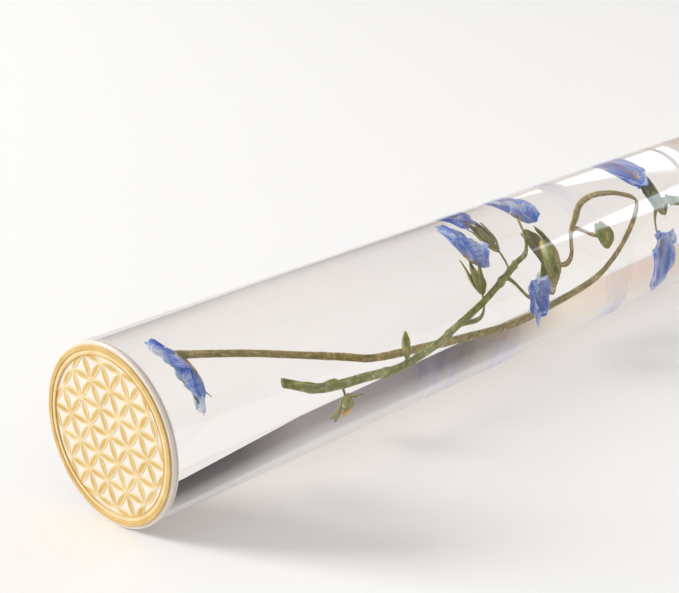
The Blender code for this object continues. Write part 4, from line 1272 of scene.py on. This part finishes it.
@dataclass
class Sprigs:
    """Sprigs of forget-me-not that float in the oil."""

    trees: Trees
    drift: float = 1.5 * MM
    clearance: float = 0.3 * MM
    petal_wall: float = 0.07 * MM
    sepal_wall: float = 0.12 * MM
    throat: float = 0.42 * MM
    stalk_radius: float = 0.17 * MM

    def __post_init__(self) -> None:
        """Reads the room between the plugs."""
        self.room_front = Span.of("front_plug").rear + self.drift
        self.room_rear = Span.of("rear_plug").front - self.drift
        self.bore = Span.of("chamber_tube").inner

    def build(self) -> None:
        """Makes the stems first, then the heads, the down and the beads of air."""
        surfaces = [self.build_stem(stem) for stem in STEMS]
        for head in BLOSSOMS:
            surfaces.append(self.build_blossom(head))
        for head in CALYCES:
            surfaces.append(self.build_calyx(head))
        for head in BUDS:
            self.build_bud(head)
        self.build_beads(surfaces)

    def in_room(self, share: tuple[float, float, float], radius: float) -> Vector:
        """The point at these shares of the room, for something of that radius."""
        along, across, up = share
        free = self.bore - radius - self.clearance
        return Vector((self.room_front + along * (self.room_rear - self.room_front),
                       across * free, AXIS + up * free))

    def build_stem(self, stem: Stem) -> bpy.types.Object:
        """A stem with its stalks, tapered, swollen at its joints and covered in down."""
        cad_radius = 0.4 * MM if stem.node == "long_stem" else 0.45 * MM
        points = [self.in_room(share, cad_radius) for share in stem.route]
        heads = {head.node: head for head in BLOSSOMS + CALYCES + BUDS}
        knots = [index / (len(points) - 1) for _, index in stem.stalks]

        def radius_at(share: float) -> float:
            """The stem's radius: thinner at its head's end, thicker at each joint."""
            swell = sum(0.22 * math.exp(-((share - k) / 0.012) ** 2) for k in knots)
            waver = 0.10 * noise.noise(Vector((share * 60, stem.radius * 9000, 0)))
            return stem.radius * (1.08 - 0.3 * share + min(swell, 0.3) + waver)

        meshes = [stalk(stem.node, smooth_path(points, 10), radius_at, 14)]
        for name, joint in stem.stalks:
            place = Seat.of(heads[name])
            foot = place.middle - place.facing * (place.half * 0.9)
            root = points[joint]
            span = (foot - root).length
            onward = (points[min(joint + 1, len(points) - 1)] - points[max(joint - 1, 0)]).normalized()
            if onward.dot(foot - root) < 0:
                onward = -onward
            handles = (root, root + onward * span * 0.3, foot - place.facing * span * 0.4, foot)
            meshes.append(stalk(name, arc(*handles),
                                lambda share: self.stalk_radius * (1.35 - 0.45 * share), 10))
        piece = merged(f"{stem.node}_downy", meshes, stem.finish)
        smooth(piece.data)
        self.build_down(piece, f"{stem.node}_down", 2.0e6, 0.28 * MM, stem.radius * 1e5)
        return seat(piece, Body.SPRIGS, "stem_green", stem.node)

    def build_down(self, piece: bpy.types.Object, name: str, density: float, length: float,
                   seed: float) -> None:
        """Covers a piece in hairs, as a piece of their own."""
        mesh = grown(self.trees.down, {
            "Density": density, "Length": length, "Root": 0.014 * MM,
            "Lean": math.radians(55), "Seed": int(seed), "Finish": DOWN}, piece.data.copy())
        seat(new_object(name, mesh), Body.SPRIGS, "stem_green")

    def build_blossom(self, head: Head) -> bpy.types.Object:
        """Five crumpled petals round a yellow-scaled throat."""
        place = Seat.of(head)
        length = place.reach * head.size

        def point(along: float, across: float) -> Vector:
            """Narrow at the claw, broad and round further out, with a trough and a curled tip."""
            reach = 0.60 if along < 0.60 else 0.405
            round_part = math.sqrt(max(0.0, 1 - ((along - 0.60) / reach) ** 2))
            half_width = length * (0.09 * (1 - along) + 0.50 * round_part)
            rise = head.curl * along ** 2 + 0.16 * along * across ** 2
            wave = 0.035 * along * math.sin(7 * across + 6 * along)
            return Vector((length * along, half_width * across, length * (rise + wave)))

        petal = blade("petal", point, 14, 12)
        mesh = self.trees.ring_of(petal, 5, PETAL_BLUE, head.seed * 0.7, head.open,
                                  (math.radians(14), 0.14, 0.14), head.seed)
        ruffled(mesh, head.crumple, 1.5 * MM, head.seed, 2.2 * MM)
        ruffled(mesh, head.crumple * 0.35, 0.6 * MM, head.seed + 0.5, 2.2 * MM)
        mesh.transform(place.matrix())
        petals = new_object(head.node.replace("blossom", "corolla"), mesh)
        self.thicken(petals, self.petal_wall)
        self.build_throat(head, place)
        return seat(petals, Body.SPRIGS, "petal_blue", head.node)

    def thicken(self, piece: bpy.types.Object, wall: float) -> None:
        """Gives open sheets a wall and rounds them."""
        sheet = piece.modifiers.new("wall", "SOLIDIFY")
        sheet.thickness = wall
        sheet.offset = 0
        soft = piece.modifiers.new("soft", "SUBSURF")
        soft.levels = soft.render_levels = 1
        settled(piece)
        piece.data.shade_smooth()

    def build_throat(self, head: Head, place: Seat) -> None:
        """The ring of five yellow scales round the flower's eye."""
        shape = bmesh.new()
        bmesh.ops.create_uvsphere(shape, u_segments=10, v_segments=7, radius=0.26 * MM)
        bmesh.ops.scale(shape, vec=(1.0, 1.25, 0.75), verts=shape.verts)
        bmesh.ops.translate(shape, vec=(self.throat, 0, 0.12 * MM), verts=shape.verts)
        scale = bpy.data.meshes.new("scale")
        shape.to_mesh(scale)
        shape.free()
        scale.shade_smooth()
        mesh = self.trees.ring_of(scale, 5, POLLEN, head.seed * 0.7 + 0.63, 0.0,
                                  (0.0, 0.05, 0.08), head.seed)
        mesh.transform(place.matrix())
        seat(new_object(f"{head.node}_eye", mesh), Body.SPRIGS, "petal_blue")

    def build_calyx(self, head: Head) -> bpy.types.Object:
        """Five pointed sepals round a small cup: an urn, or a star where they have spread."""
        place = Seat.of(head)
        length = 2.3 * place.half * head.size
        mouth = 0.95 * place.reach * head.size
        flat = head.spread

        def point(along: float, across: float) -> Vector:
            """A fifth of the urn low down, drawn out to a tip that bends outwards."""
            urn_r = mouth * (0.30 + 0.70 * math.sin(min(1.0, along / 0.45) * math.pi / 2))
            star_r = mouth * 0.30 + length * along
            radius = urn_r + flat * (star_r - urn_r) + 0.20 * mouth * max(0.0, along - 0.6)
            rise = length * (along + flat * (0.32 * math.sin(math.pi * along / 2) - along))
            taper = 1 - max(0.0, (along - 0.40) / 0.60) ** 1.4
            half = math.pi / 5 * 1.15 * taper
            half += flat * (math.atan2(0.30 * length * taper, radius) - half)
            radius -= 0.10 * mouth * abs(across) * (1 - flat)
            return Vector((radius * math.cos(half * across), radius * math.sin(half * across), rise))

        mesh = self.trees.ring_of(blade("sepal", point, 12, 6), 5, SEPAL_GREEN, head.seed * 0.9,
                                  0.0, (math.radians(5), 0.10, 0.10), head.seed)
        ruffled(mesh, 0.22 * MM, 1.0 * MM, head.seed, 1.6 * MM)
        sheet = new_object("sepals", mesh)
        self.thicken(sheet, self.sepal_wall)
        cup = self.cup_mesh(mouth * (0.78 - 0.35 * flat), length * (0.38 - 0.20 * flat))
        meshes = [sheet.data, cup]
        base = place.matrix() @ Matrix.Translation((0, 0, -place.half))
        if head.style:
            start = Vector((0, 0, 0.3 * length))
            tip = base.inverted() @ (place.middle + Vector(head.style))
            meshes.append(stalk("style", smooth_path([start, start.lerp(tip, 0.5), tip], 6),
                                lambda share: 0.10 * MM * (1.2 - 0.8 * share), 8))
        piece = merged(f"{head.node}_sepals", meshes, SEPAL_GREEN)
        bpy.data.objects.remove(sheet)
        piece.data.transform(base)
        smooth(piece.data)
        self.build_down(piece, f"{head.node}_down", 1.6e6, 0.22 * MM, head.seed)
        if head.spread > 0.8:
            self.build_throat(head, place)
        return seat(piece, Body.SPRIGS, "calyx_green", head.node)

    def cup_mesh(self, radius: float, half: float) -> bpy.types.Mesh:
        """The closed base that the sepals rise from."""
        shape = bmesh.new()
        bmesh.ops.create_uvsphere(shape, u_segments=16, v_segments=12, radius=1.0)
        bmesh.ops.scale(shape, vec=(radius, radius, half), verts=shape.verts)
        bmesh.ops.translate(shape, vec=(0, 0, 0.9 * half), verts=shape.verts)
        layer = shape.loops.layers.uv.new("UVMap")
        for face in shape.faces:
            for loop in face.loops:
                spot = loop.vert.co
                loop[layer].uv = (spot.z / half, math.atan2(spot.y, spot.x) / math.tau)
        mesh = bpy.data.meshes.new("cup")
        shape.to_mesh(mesh)
        shape.free()
        return mesh

    def build_bud(self, head: Head) -> None:
        """A closed bud: sepals wrapped round each other."""
        place = Seat.of(head)
        shape = bmesh.new()
        bmesh.ops.create_uvsphere(shape, u_segments=20, v_segments=16, radius=1.0)
        layer = shape.loops.layers.uv.new("UVMap")
        for vertex in shape.verts:
            turn = math.atan2(vertex.co.y, vertex.co.x) + 1.2 * vertex.co.z
            ridge = 1 + 0.14 * math.cos(5 * turn) * (1 - vertex.co.z ** 2)
            taper = 1 - 0.25 * vertex.co.z
            vertex.co.x *= place.reach * ridge * taper
            vertex.co.y *= place.reach * ridge * taper
            vertex.co.z *= place.half * 1.25
        for face in shape.faces:
            for loop in face.loops:
                spot = loop.vert.co
                loop[layer].uv = (spot.z / place.half, math.atan2(spot.y, spot.x) / math.tau)
        mesh = bpy.data.meshes.new("bud")
        shape.to_mesh(mesh)
        shape.free()
        mesh.transform(place.matrix())
        smooth(mesh)
        mesh.materials.append(SEPAL_GREEN.material())
        piece = new_object(f"{head.node}_wrapped", mesh)
        self.build_down(piece, f"{head.node}_down", 2.4e6, 0.22 * MM, head.seed)
        seat(piece, Body.SPRIGS, "calyx_green", head.node)

    def build_beads(self, surfaces: Sequence[bpy.types.Object]) -> None:
        """Beads of air that cling to the stems, petals and sepals, shaded plain white as painted glints.
        """
        everything = merged("clung_to", [piece.data for piece in surfaces], AIR_BEAD_PAINTED_GLINT)
        mesh = grown(self.trees.beads, {
            "Density": 4.5e5, "Radius": 0.11 * MM, "Seed": 5, "Finish": AIR_BEAD_PAINTED_GLINT}, everything.data.copy())
        bpy.data.objects.remove(everything)
        mesh.shade_smooth()
        seat(new_object("air_beads", mesh), Body.SPRIGS, "clear_acrylic")


# ---- The grip collar --------------------------------------------------------------------------
@dataclass
class GripCollar:
    """The knurled ring that turns the chamber, with the journal that runs in the barrel."""

    trees: Trees
    ribs: int = 60
    rib_radius: float = 0.26 * MM
    shoulder: float = 1.1 * MM
    groove: float = 0.32 * MM
    edge: float = 0.12 * MM

    def __post_init__(self) -> None:
        """Reads the collar's own stations and those of its neighbours."""
        tube, washer = Span.of("chamber_tube"), Span.of("thrust_washer")
        self.whole = Span.of("grip_collar")
        self.ring_front = tube.rear + 0.1 * MM
        self.ring_rear = washer.front - 0.1 * MM
        self.spigot = Span.of("grip_collar", end=tube.rear)
        self.journal = Span.of("grip_collar", start=washer.rear)

    def build(self) -> None:
        """Turns the collar, sets its ribs and dresses the clip."""
        floor = TUBE_R - self.groove
        front, rear = self.ring_front, self.ring_rear
        outline = eased((
            (self.whole.rear, self.journal.outer), (rear, self.journal.outer), (rear, TUBE_R),
            (rear - self.shoulder, TUBE_R), (rear - self.shoulder, floor),
            (front + self.shoulder, floor), (front + self.shoulder, TUBE_R), (front, TUBE_R),
            (front, self.spigot.outer), (self.whole.front, self.spigot.outer),
            (self.whole.front, self.whole.inner), (self.whole.rear, self.whole.inner)), self.edge)
        seat(lathe("collar_turned", outline, GOLD_ANODISED), Body.CHAMBER, "gold_aluminium",
             "grip_collar")
        self.build_ribs(floor)
        dress("retaining_clip", SPRING_STEEL)

    def build_ribs(self, floor: float) -> None:
        """Half-round ribs along the collar's groove, for the fingers."""
        front = self.ring_front + self.shoulder + self.edge
        rear = self.ring_rear - self.shoulder - self.edge
        steps = 6
        section = [(floor - 0.05 * MM + self.rib_radius * math.sin(t), self.rib_radius * math.cos(t))
                   for t in (math.pi * i / steps for i in range(steps + 1))]
        rib = prism("rib", section, front, rear)
        mesh = self.trees.ring_of(rib, self.ribs, GOLD_ANODISED)
        mesh.transform(ALONG_TUBE)
        smooth(mesh)
        seat(new_object("collar_ribs", mesh), Body.CHAMBER, "gold_aluminium")


# ---- The mirror barrel ------------------------------------------------------------------------
@dataclass
class Barrel:
    """The anodised tube with its bush, washer, window and mirror prism."""

    trees: Trees
    edge: float = 0.20 * MM

    def __post_init__(self) -> None:
        """Reads the tube's and the set screws' stations."""
        self.tube = Span.of("barrel_tube")
        self.washer = Span.of("thrust_washer")
        low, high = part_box("set_screw_1")
        self.screw_station = (low.x + high.x) / 2
        self.screw_radius = (high.x - low.x) / 2
        self.screw_inner = low.z - AXIS
        self.screw_outer = high.z - AXIS
        self.screw_count = 3

    def build(self) -> None:
        """Makes the tube and washer, and dresses what lies inside."""
        outline = eased(((self.tube.front, self.tube.outer), (self.tube.rear, self.tube.outer),
                         (self.tube.rear, self.tube.inner), (self.tube.front, self.tube.inner)),
                        self.edge)
        tube = lathe("barrel_turned", outline, GOLD_ANODISED)
        drilled(tube, [self.screw_holes()])
        seat(tube, Body.BARREL, "gold_aluminium", "barrel_tube")
        washer = eased(((self.washer.front, self.washer.outer), (self.washer.rear, self.washer.outer),
                        (self.washer.rear, self.washer.inner), (self.washer.front, self.washer.inner)),
                       0.1 * MM)
        seat(lathe("washer_turned", washer, WHITE_ACETAL), Body.BARREL, "bearing_polymer",
             "thrust_washer")
        self.build_screws()
        for node, finish in (("bearing_bush", WHITE_ACETAL), ("barrel_window", LENS_ACRYLIC),
                             ("front_mirror_holder", BLACK_ACETAL),
                             ("rear_mirror_holder", BLACK_ACETAL), ("mirror_card", BLACK_CARD),
                             ("mirror_1", SILVERED_GLASS), ("mirror_2", SILVERED_GLASS),
                             ("mirror_3", SILVERED_GLASS)):
            dress(node, finish)

    def screw_holes(self) -> bpy.types.Object:
        """The clearance holes of the set screws, as one cutter."""
        shape = bmesh.new()
        bmesh.ops.create_cone(shape, cap_ends=True, segments=SMALL_SIDES,
                              radius1=self.screw_radius + 0.1 * MM,
                              radius2=self.screw_radius + 0.1 * MM, depth=TUBE_R)
        bmesh.ops.rotate(shape, matrix=Matrix.Rotation(math.pi / 2, 3, "Y"), verts=shape.verts)
        bmesh.ops.translate(shape, vec=(TUBE_R, 0, self.screw_station), verts=shape.verts)
        hole = bpy.data.meshes.new("hole")
        shape.to_mesh(hole)
        shape.free()
        mesh = self.trees.ring_of(hole, self.screw_count, SPRING_STEEL, math.pi)
        mesh.transform(ALONG_TUBE)
        return new_object("screw_holes", mesh)

    def build_screws(self) -> None:
        """Cup-point set screws with hexagon sockets, their tops just below the barrel."""
        sides = 24
        socket = 0.52 * self.screw_radius
        depth = 0.9 * MM
        chamfer = 0.12 * MM
        levels = ((self.screw_inner, 0.6 * self.screw_radius, False),
                  (self.screw_inner + 0.3 * MM, self.screw_radius, False),
                  (self.screw_outer - chamfer, self.screw_radius, False),
                  (self.screw_outer, self.screw_radius - chamfer, False),
                  (self.screw_outer, socket, True), (self.screw_outer - depth, socket, True))
        shape = bmesh.new()
        rings = []
        for out, radius, hexagon in levels:
            ring = []
            for i in range(sides):
                turn = math.tau * i / sides
                lobe = (turn + math.pi / 6) % (math.pi / 3) - math.pi / 6
                reach = radius / math.cos(lobe) if hexagon else radius
                ring.append(shape.verts.new((out, reach * math.cos(turn),
                                             self.screw_station + reach * math.sin(turn))))
            rings.append(ring)
        for ring, following in zip(rings, rings[1:]):
            for i in range(sides):
                j = (i + 1) % sides
                shape.faces.new((ring[i], ring[j], following[j], following[i]))
        shape.faces.new(rings[0])
        shape.faces.new(rings[-1])
        bmesh.ops.recalc_face_normals(shape, faces=shape.faces)
        screw = bpy.data.meshes.new("set_screw")
        shape.to_mesh(screw)
        shape.free()
        smooth(screw)
        mesh = self.trees.ring_of(screw, self.screw_count, SPRING_STEEL, math.pi)
        mesh.transform(ALONG_TUBE)
        seat(new_object("set_screws", mesh), Body.BARREL, "spring_steel",
             "set_screw_1", "set_screw_2", "set_screw_3")


# ---- The eyepiece -----------------------------------------------------------------------------
@dataclass
class Eyepiece:
    """Housing, lens, lens ring and the dished cap that the eye rests on."""

    edge: float = 0.20 * MM
    round_steps: int = 8

    def __post_init__(self) -> None:
        """Reads the stations of the housing and of what it holds."""
        self.housing = Span.of("eyepiece_housing")
        self.lens = Span.of("eye_lens")
        self.ring = Span.of("lens_ring")
        self.cap = Span.of("eye_cap")
        self.barrel = Span.of("barrel_tube")

    def build(self) -> None:
        """Turns each piece a little finer than its CAD solid."""
        flange = self.barrel.rear + 0.1 * MM
        spigot = self.barrel.inner - 0.1 * MM
        seat_face = self.lens.front - 0.1 * MM
        bore = self.lens.outer + 0.15 * MM
        groove = (flange + 1.3 * MM, flange + 1.9 * MM)
        outline = eased((
            (self.housing.rear, TUBE_R), (groove[1], TUBE_R), (groove[1], TUBE_R - 0.3 * MM),
            (groove[0], TUBE_R - 0.3 * MM), (groove[0], TUBE_R), (flange, TUBE_R),
            (flange, spigot), (self.housing.front, spigot),
            (self.housing.front, self.housing.inner), (seat_face, self.housing.inner),
            (seat_face, bore), (self.housing.rear, bore)), self.edge)
        seat(lathe("housing_turned", outline, GOLD_ANODISED), Body.BARREL, "gold_aluminium",
             "eyepiece_housing")
        self.build_lens()
        ring = eased(((self.ring.front, self.ring.outer), (self.ring.rear, self.ring.outer),
                      (self.ring.rear, self.ring.inner), (self.ring.front, self.ring.inner)), self.edge)
        seat(lathe("lens_ring_turned", ring, BLACK_ACETAL), Body.BARREL, "black_acetal", "lens_ring")
        self.build_cap()

    def build_lens(self) -> None:
        """Flat towards the mirrors and crowned towards the eye."""
        rim = Span.of("eye_lens", start=self.lens.front + 0.01 * MM)
        corners = [v.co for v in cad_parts["eye_lens"].data.vertices]
        widest = [c.x for c in corners if math.hypot(c.y, c.z - AXIS) > 0.97 * rim.outer]
        shoulder = max(widest)
        crown = self.lens.rear - shoulder
        sphere = (rim.outer ** 2 + crown ** 2) / (2 * crown)
        steps = 20
        radii = [rim.outer * i / steps for i in range(steps)]
        dome = [(self.lens.rear - sphere + math.sqrt(sphere ** 2 - r ** 2), r) for r in radii]
        outline = [*dome, (shoulder, rim.outer), (self.lens.front, rim.outer), (self.lens.front, 0)]
        seat(lathe("lens_polished", outline, LENS_ACRYLIC), Body.BARREL, "lens_acrylic", "eye_lens")

    def build_cap(self) -> None:
        """Rounded outside, dished inwards to the peephole."""
        front = self.housing.rear + 0.1 * MM
        rear = self.cap.rear
        hole = self.cap.inner
        spigot = Span.of("eye_cap", end=self.housing.rear)
        round_r = 1.0 * MM
        turns = [math.pi / 2 * i / self.round_steps for i in range(self.round_steps + 1)]
        shoulder = [(rear - round_r + round_r * math.cos(t), TUBE_R - round_r + round_r * math.sin(t))
                    for t in turns]
        depth = (rear - front) / 2
        dish = [(rear - depth * math.sin(t), hole + depth * (1 - math.cos(t)) / 1.0)
                for t in reversed(turns)]
        lip = 0.15 * MM
        outline = [*shoulder, (front + lip, TUBE_R), (front, TUBE_R - lip), (front, spigot.outer),
                   (self.cap.front + lip, spigot.outer), (self.cap.front, spigot.outer - lip),
                   (self.cap.front, hole), *dish]
        seat(lathe("eye_cap_turned", outline, BLACK_ACETAL), Body.BARREL, "black_acetal", "eye_cap")


# ---- Studio -----------------------------------------------------------------------------------
@dataclass
class Studio:
    """A pale floor, a soft sky with a dark skyline for the tube to bend and a bright streak, one key
    light and a camera.
    """

    floor_colour: str = "#F7F7F6"
    floor_radius: float = 6.0
    camera_offset: tuple[float, float, float] = (-0.08818, -0.11463, 0.06783)
    camera_azimuth: float = math.radians(-46.91)
    camera_elevation: float = math.radians(20.29)
    lens: float = 82.66
    sky: str = "#E0DFDE"
    paper_light: str = "#F4F1EE"
    streak_turn: float = math.radians(52)
    streak_start: float = 0.766
    streak_growth: float = 4.0
    streak_strength: float = 5.0

    def build(self) -> None:
        """Makes the floor, the sky, the lights and the camera."""
        self.build_floor()
        self.build_sky()
        self.build_lights()
        self.build_camera()
        bpy.context.scene.view_settings.view_transform = "Standard"

    def build_floor(self) -> None:
        """A round sheet of pale paper just under the tube."""
        shape = bmesh.new()
        bmesh.ops.create_circle(shape, cap_ends=True, segments=96, radius=self.floor_radius)
        bmesh.ops.translate(shape, vec=(0, 0, -0.02 * MM), verts=shape.verts)
        mesh = bpy.data.meshes.new("floor")
        shape.to_mesh(mesh)
        shape.free()
        material = bpy.data.materials.new("floor_paper")
        material.use_nodes = True
        tree = material.node_tree
        tree.nodes.clear()
        coords = add_node(tree, "ShaderNodeTexCoord").outputs["Object"]
        tooth = add_node(tree, "ShaderNodeTexNoise", inputs={
            "Vector": coords, "Scale": 900.0, "Detail": 2.0})
        relief = add_node(tree, "ShaderNodeBump", inputs={
            "Strength": 0.05, "Distance": 0.02 * MM, "Height": tooth.outputs["Fac"]})
        sheet = add_node(tree, "ShaderNodeBsdfPrincipled", inputs={
            "Base Color": linear(self.floor_colour), "Roughness": 0.7,
            "Specular IOR Level": 0.15, "Normal": relief.outputs["Normal"]})
        add_node(tree, "ShaderNodeOutputMaterial", inputs={"Surface": sheet.outputs[0]})
        mesh.materials.append(material)
        new_object("floor", mesh)

    def build_sky(self) -> None:
        """Bright overhead, with a dim band above the horizon that only glass and gloss show."""
        world = bpy.data.worlds.new("studio_sky")
        bpy.context.scene.world = world
        world.use_nodes = True
        tree = world.node_tree
        tree.nodes.clear()
        way = add_node(tree, "ShaderNodeTexCoord").outputs["Generated"]
        parts = add_node(tree, "ShaderNodeSeparateXYZ", inputs={"Vector": way})
        lift = add_node(tree, "ShaderNodeMapRange", inputs={
            "Value": parts.outputs["X"], "From Min": 0.58, "From Max": 0.646,
            "To Min": 0.09, "To Max": 0.0})
        height = add_node(tree, "ShaderNodeMath", {"operation": "SUBTRACT"}, {
            0: parts.outputs["Z"], 1: lift.outputs["Result"]})
        skyline = add_node(tree, "ShaderNodeValToRGB", {"stops": (
            (0.585, "#1E181C"), (0.612, "#3C3538"), (0.645, "#8A8282"), (0.690, "#80797A"),
            (0.725, "#5C5556"), (0.747, "#8A7B6E"), (0.775, "#F0E2D0"), (0.81, "#DFCBC0"))},
            {"Fac": parts.outputs["X"]})
        rise = add_node(tree, "ShaderNodeValToRGB", {"stops": (
            (0.0, "#000000"), (0.145, "#202020"), (0.26, "#909090"), (0.36, "#B8B8B8"),
            (0.43, "#F8F8F8"), (0.50, "#FFFFFF"))}, {"Fac": height.outputs[0]})
        seen = add_node(tree, "ShaderNodeMix", {"data_type": "RGBA"}, {
            0: rise.outputs["Color"], MIX_A: skyline.outputs["Color"], MIX_B: linear(self.sky)})
        above = add_node(tree, "ShaderNodeMath", {"operation": "GREATER_THAN"}, {
            0: height.outputs[0], 1: 0.0})
        band = add_node(tree, "ShaderNodeMix", {"data_type": "RGBA"}, {
            0: above.outputs[0], MIX_A: linear(self.paper_light),
            MIX_B: seen.outputs[MIX_RESULT]})
        soft = add_node(tree, "ShaderNodeBackground", inputs={"Color": band.outputs[MIX_RESULT]})
        window = add_node(tree, "ShaderNodeBackground", inputs={
            "Color": linear("#DCE8FF"), "Strength": self.streak(tree, parts)})
        shown = add_node(tree, "ShaderNodeAddShader", inputs={
            0: soft.outputs[0], 1: window.outputs[0]})
        plain = add_node(tree, "ShaderNodeBackground", inputs={"Color": linear("#FAF9F7")})
        path = add_node(tree, "ShaderNodeLightPath")
        light = add_node(tree, "ShaderNodeMixShader", inputs={
            0: path.outputs["Is Camera Ray"], 1: shown.outputs[0], 2: plain.outputs[0]})
        add_node(tree, "ShaderNodeOutputWorld", inputs={"Surface": light.outputs[0]})

    def streak(self, tree: bpy.types.NodeTree, parts: bpy.types.Node) -> bpy.types.NodeSocket:
        """How bright the far window is in each direction: a wedge that widens towards +X."""
        def maths(operation: str, *values: object) -> bpy.types.NodeSocket:
            """One sum."""
            return add_node(tree, "ShaderNodeMath", {"operation": operation},
                            dict(enumerate(values))).outputs[0]

        across = maths("MULTIPLY", parts.outputs["Y"], -1.0)
        turn = maths("SUBTRACT", maths("ARCTAN2", parts.outputs["Z"], across), self.streak_turn)
        half = maths("MULTIPLY_ADD", parts.outputs["X"], self.streak_growth,
                     -self.streak_growth * self.streak_start)
        inside = add_node(tree, "ShaderNodeMapRange", {"interpolation_type": "SMOOTHSTEP"}, {
            "Value": maths("SUBTRACT", half, maths("ABSOLUTE", turn)), "From Min": -0.03,
            "From Max": 0.04, "To Min": 0.0, "To Max": self.streak_strength})
        end = add_node(tree, "ShaderNodeMapRange", inputs={
            "Value": parts.outputs["X"], "From Min": 0.85, "From Max": 0.88,
            "To Min": 1.0, "To Max": 0.0})
        return maths("MULTIPLY", inside.outputs[0], end.outputs[0])

    def build_lights(self) -> None:
        """A soft key, low and to one side, so that the tube's shadow falls beside it."""
        self.area_light("key", Vector((-0.78, 0.85, 0.52)), Vector((0, 0, AXIS)), (0.4, 0.4),
                        13.0, "#FFFEFD")

    def area_light(self, name: str, place: Vector, target: Vector, size: tuple[float, float],
                   watts: float, colour: str) -> None:
        """One rectangular light that faces a point."""
        data = bpy.data.lights.new(name, "AREA")
        data.shape = "RECTANGLE"
        data.size, data.size_y = size
        data.energy = watts
        data.color = linear(colour)[:3]
        lamp = bpy.data.objects.new(name, data)
        lamp.location = place
        lamp.rotation_euler = (target - place).to_track_quat("-Z", "Y").to_euler()
        bpy.context.scene.collection.objects.link(lamp)

    def build_camera(self) -> None:
        """Stands the camera before the rosette, level across and looking down the tube."""
        data = bpy.data.cameras.new("camera")
        data.lens = self.lens
        data.clip_start = 0.01
        data.clip_end = 100
        camera = bpy.data.objects.new("camera", data)
        disc = Vector((CAD_BOX[0].x, 0, AXIS))
        camera.location = disc + Vector(self.camera_offset)
        camera.rotation_euler = (math.pi / 2 - self.camera_elevation, 0, self.camera_azimuth)
        bpy.context.scene.collection.objects.link(camera)
        bpy.context.scene.camera = camera


def main() -> None:
    """Builds the whole kaleidoscope in order, then its studio."""
    trees = Trees()
    for assembly in (RosetteEnd(trees), Chamber(), Sprigs(trees), GripCollar(trees),
                     Barrel(trees), Eyepiece(), Studio()):
        LOG.info("building %s", type(assembly).__name__)
        assembly.build()


if __name__ == "__main__":
    logging.basicConfig(level=logging.INFO, format="%(name)s: %(message)s")
    main()
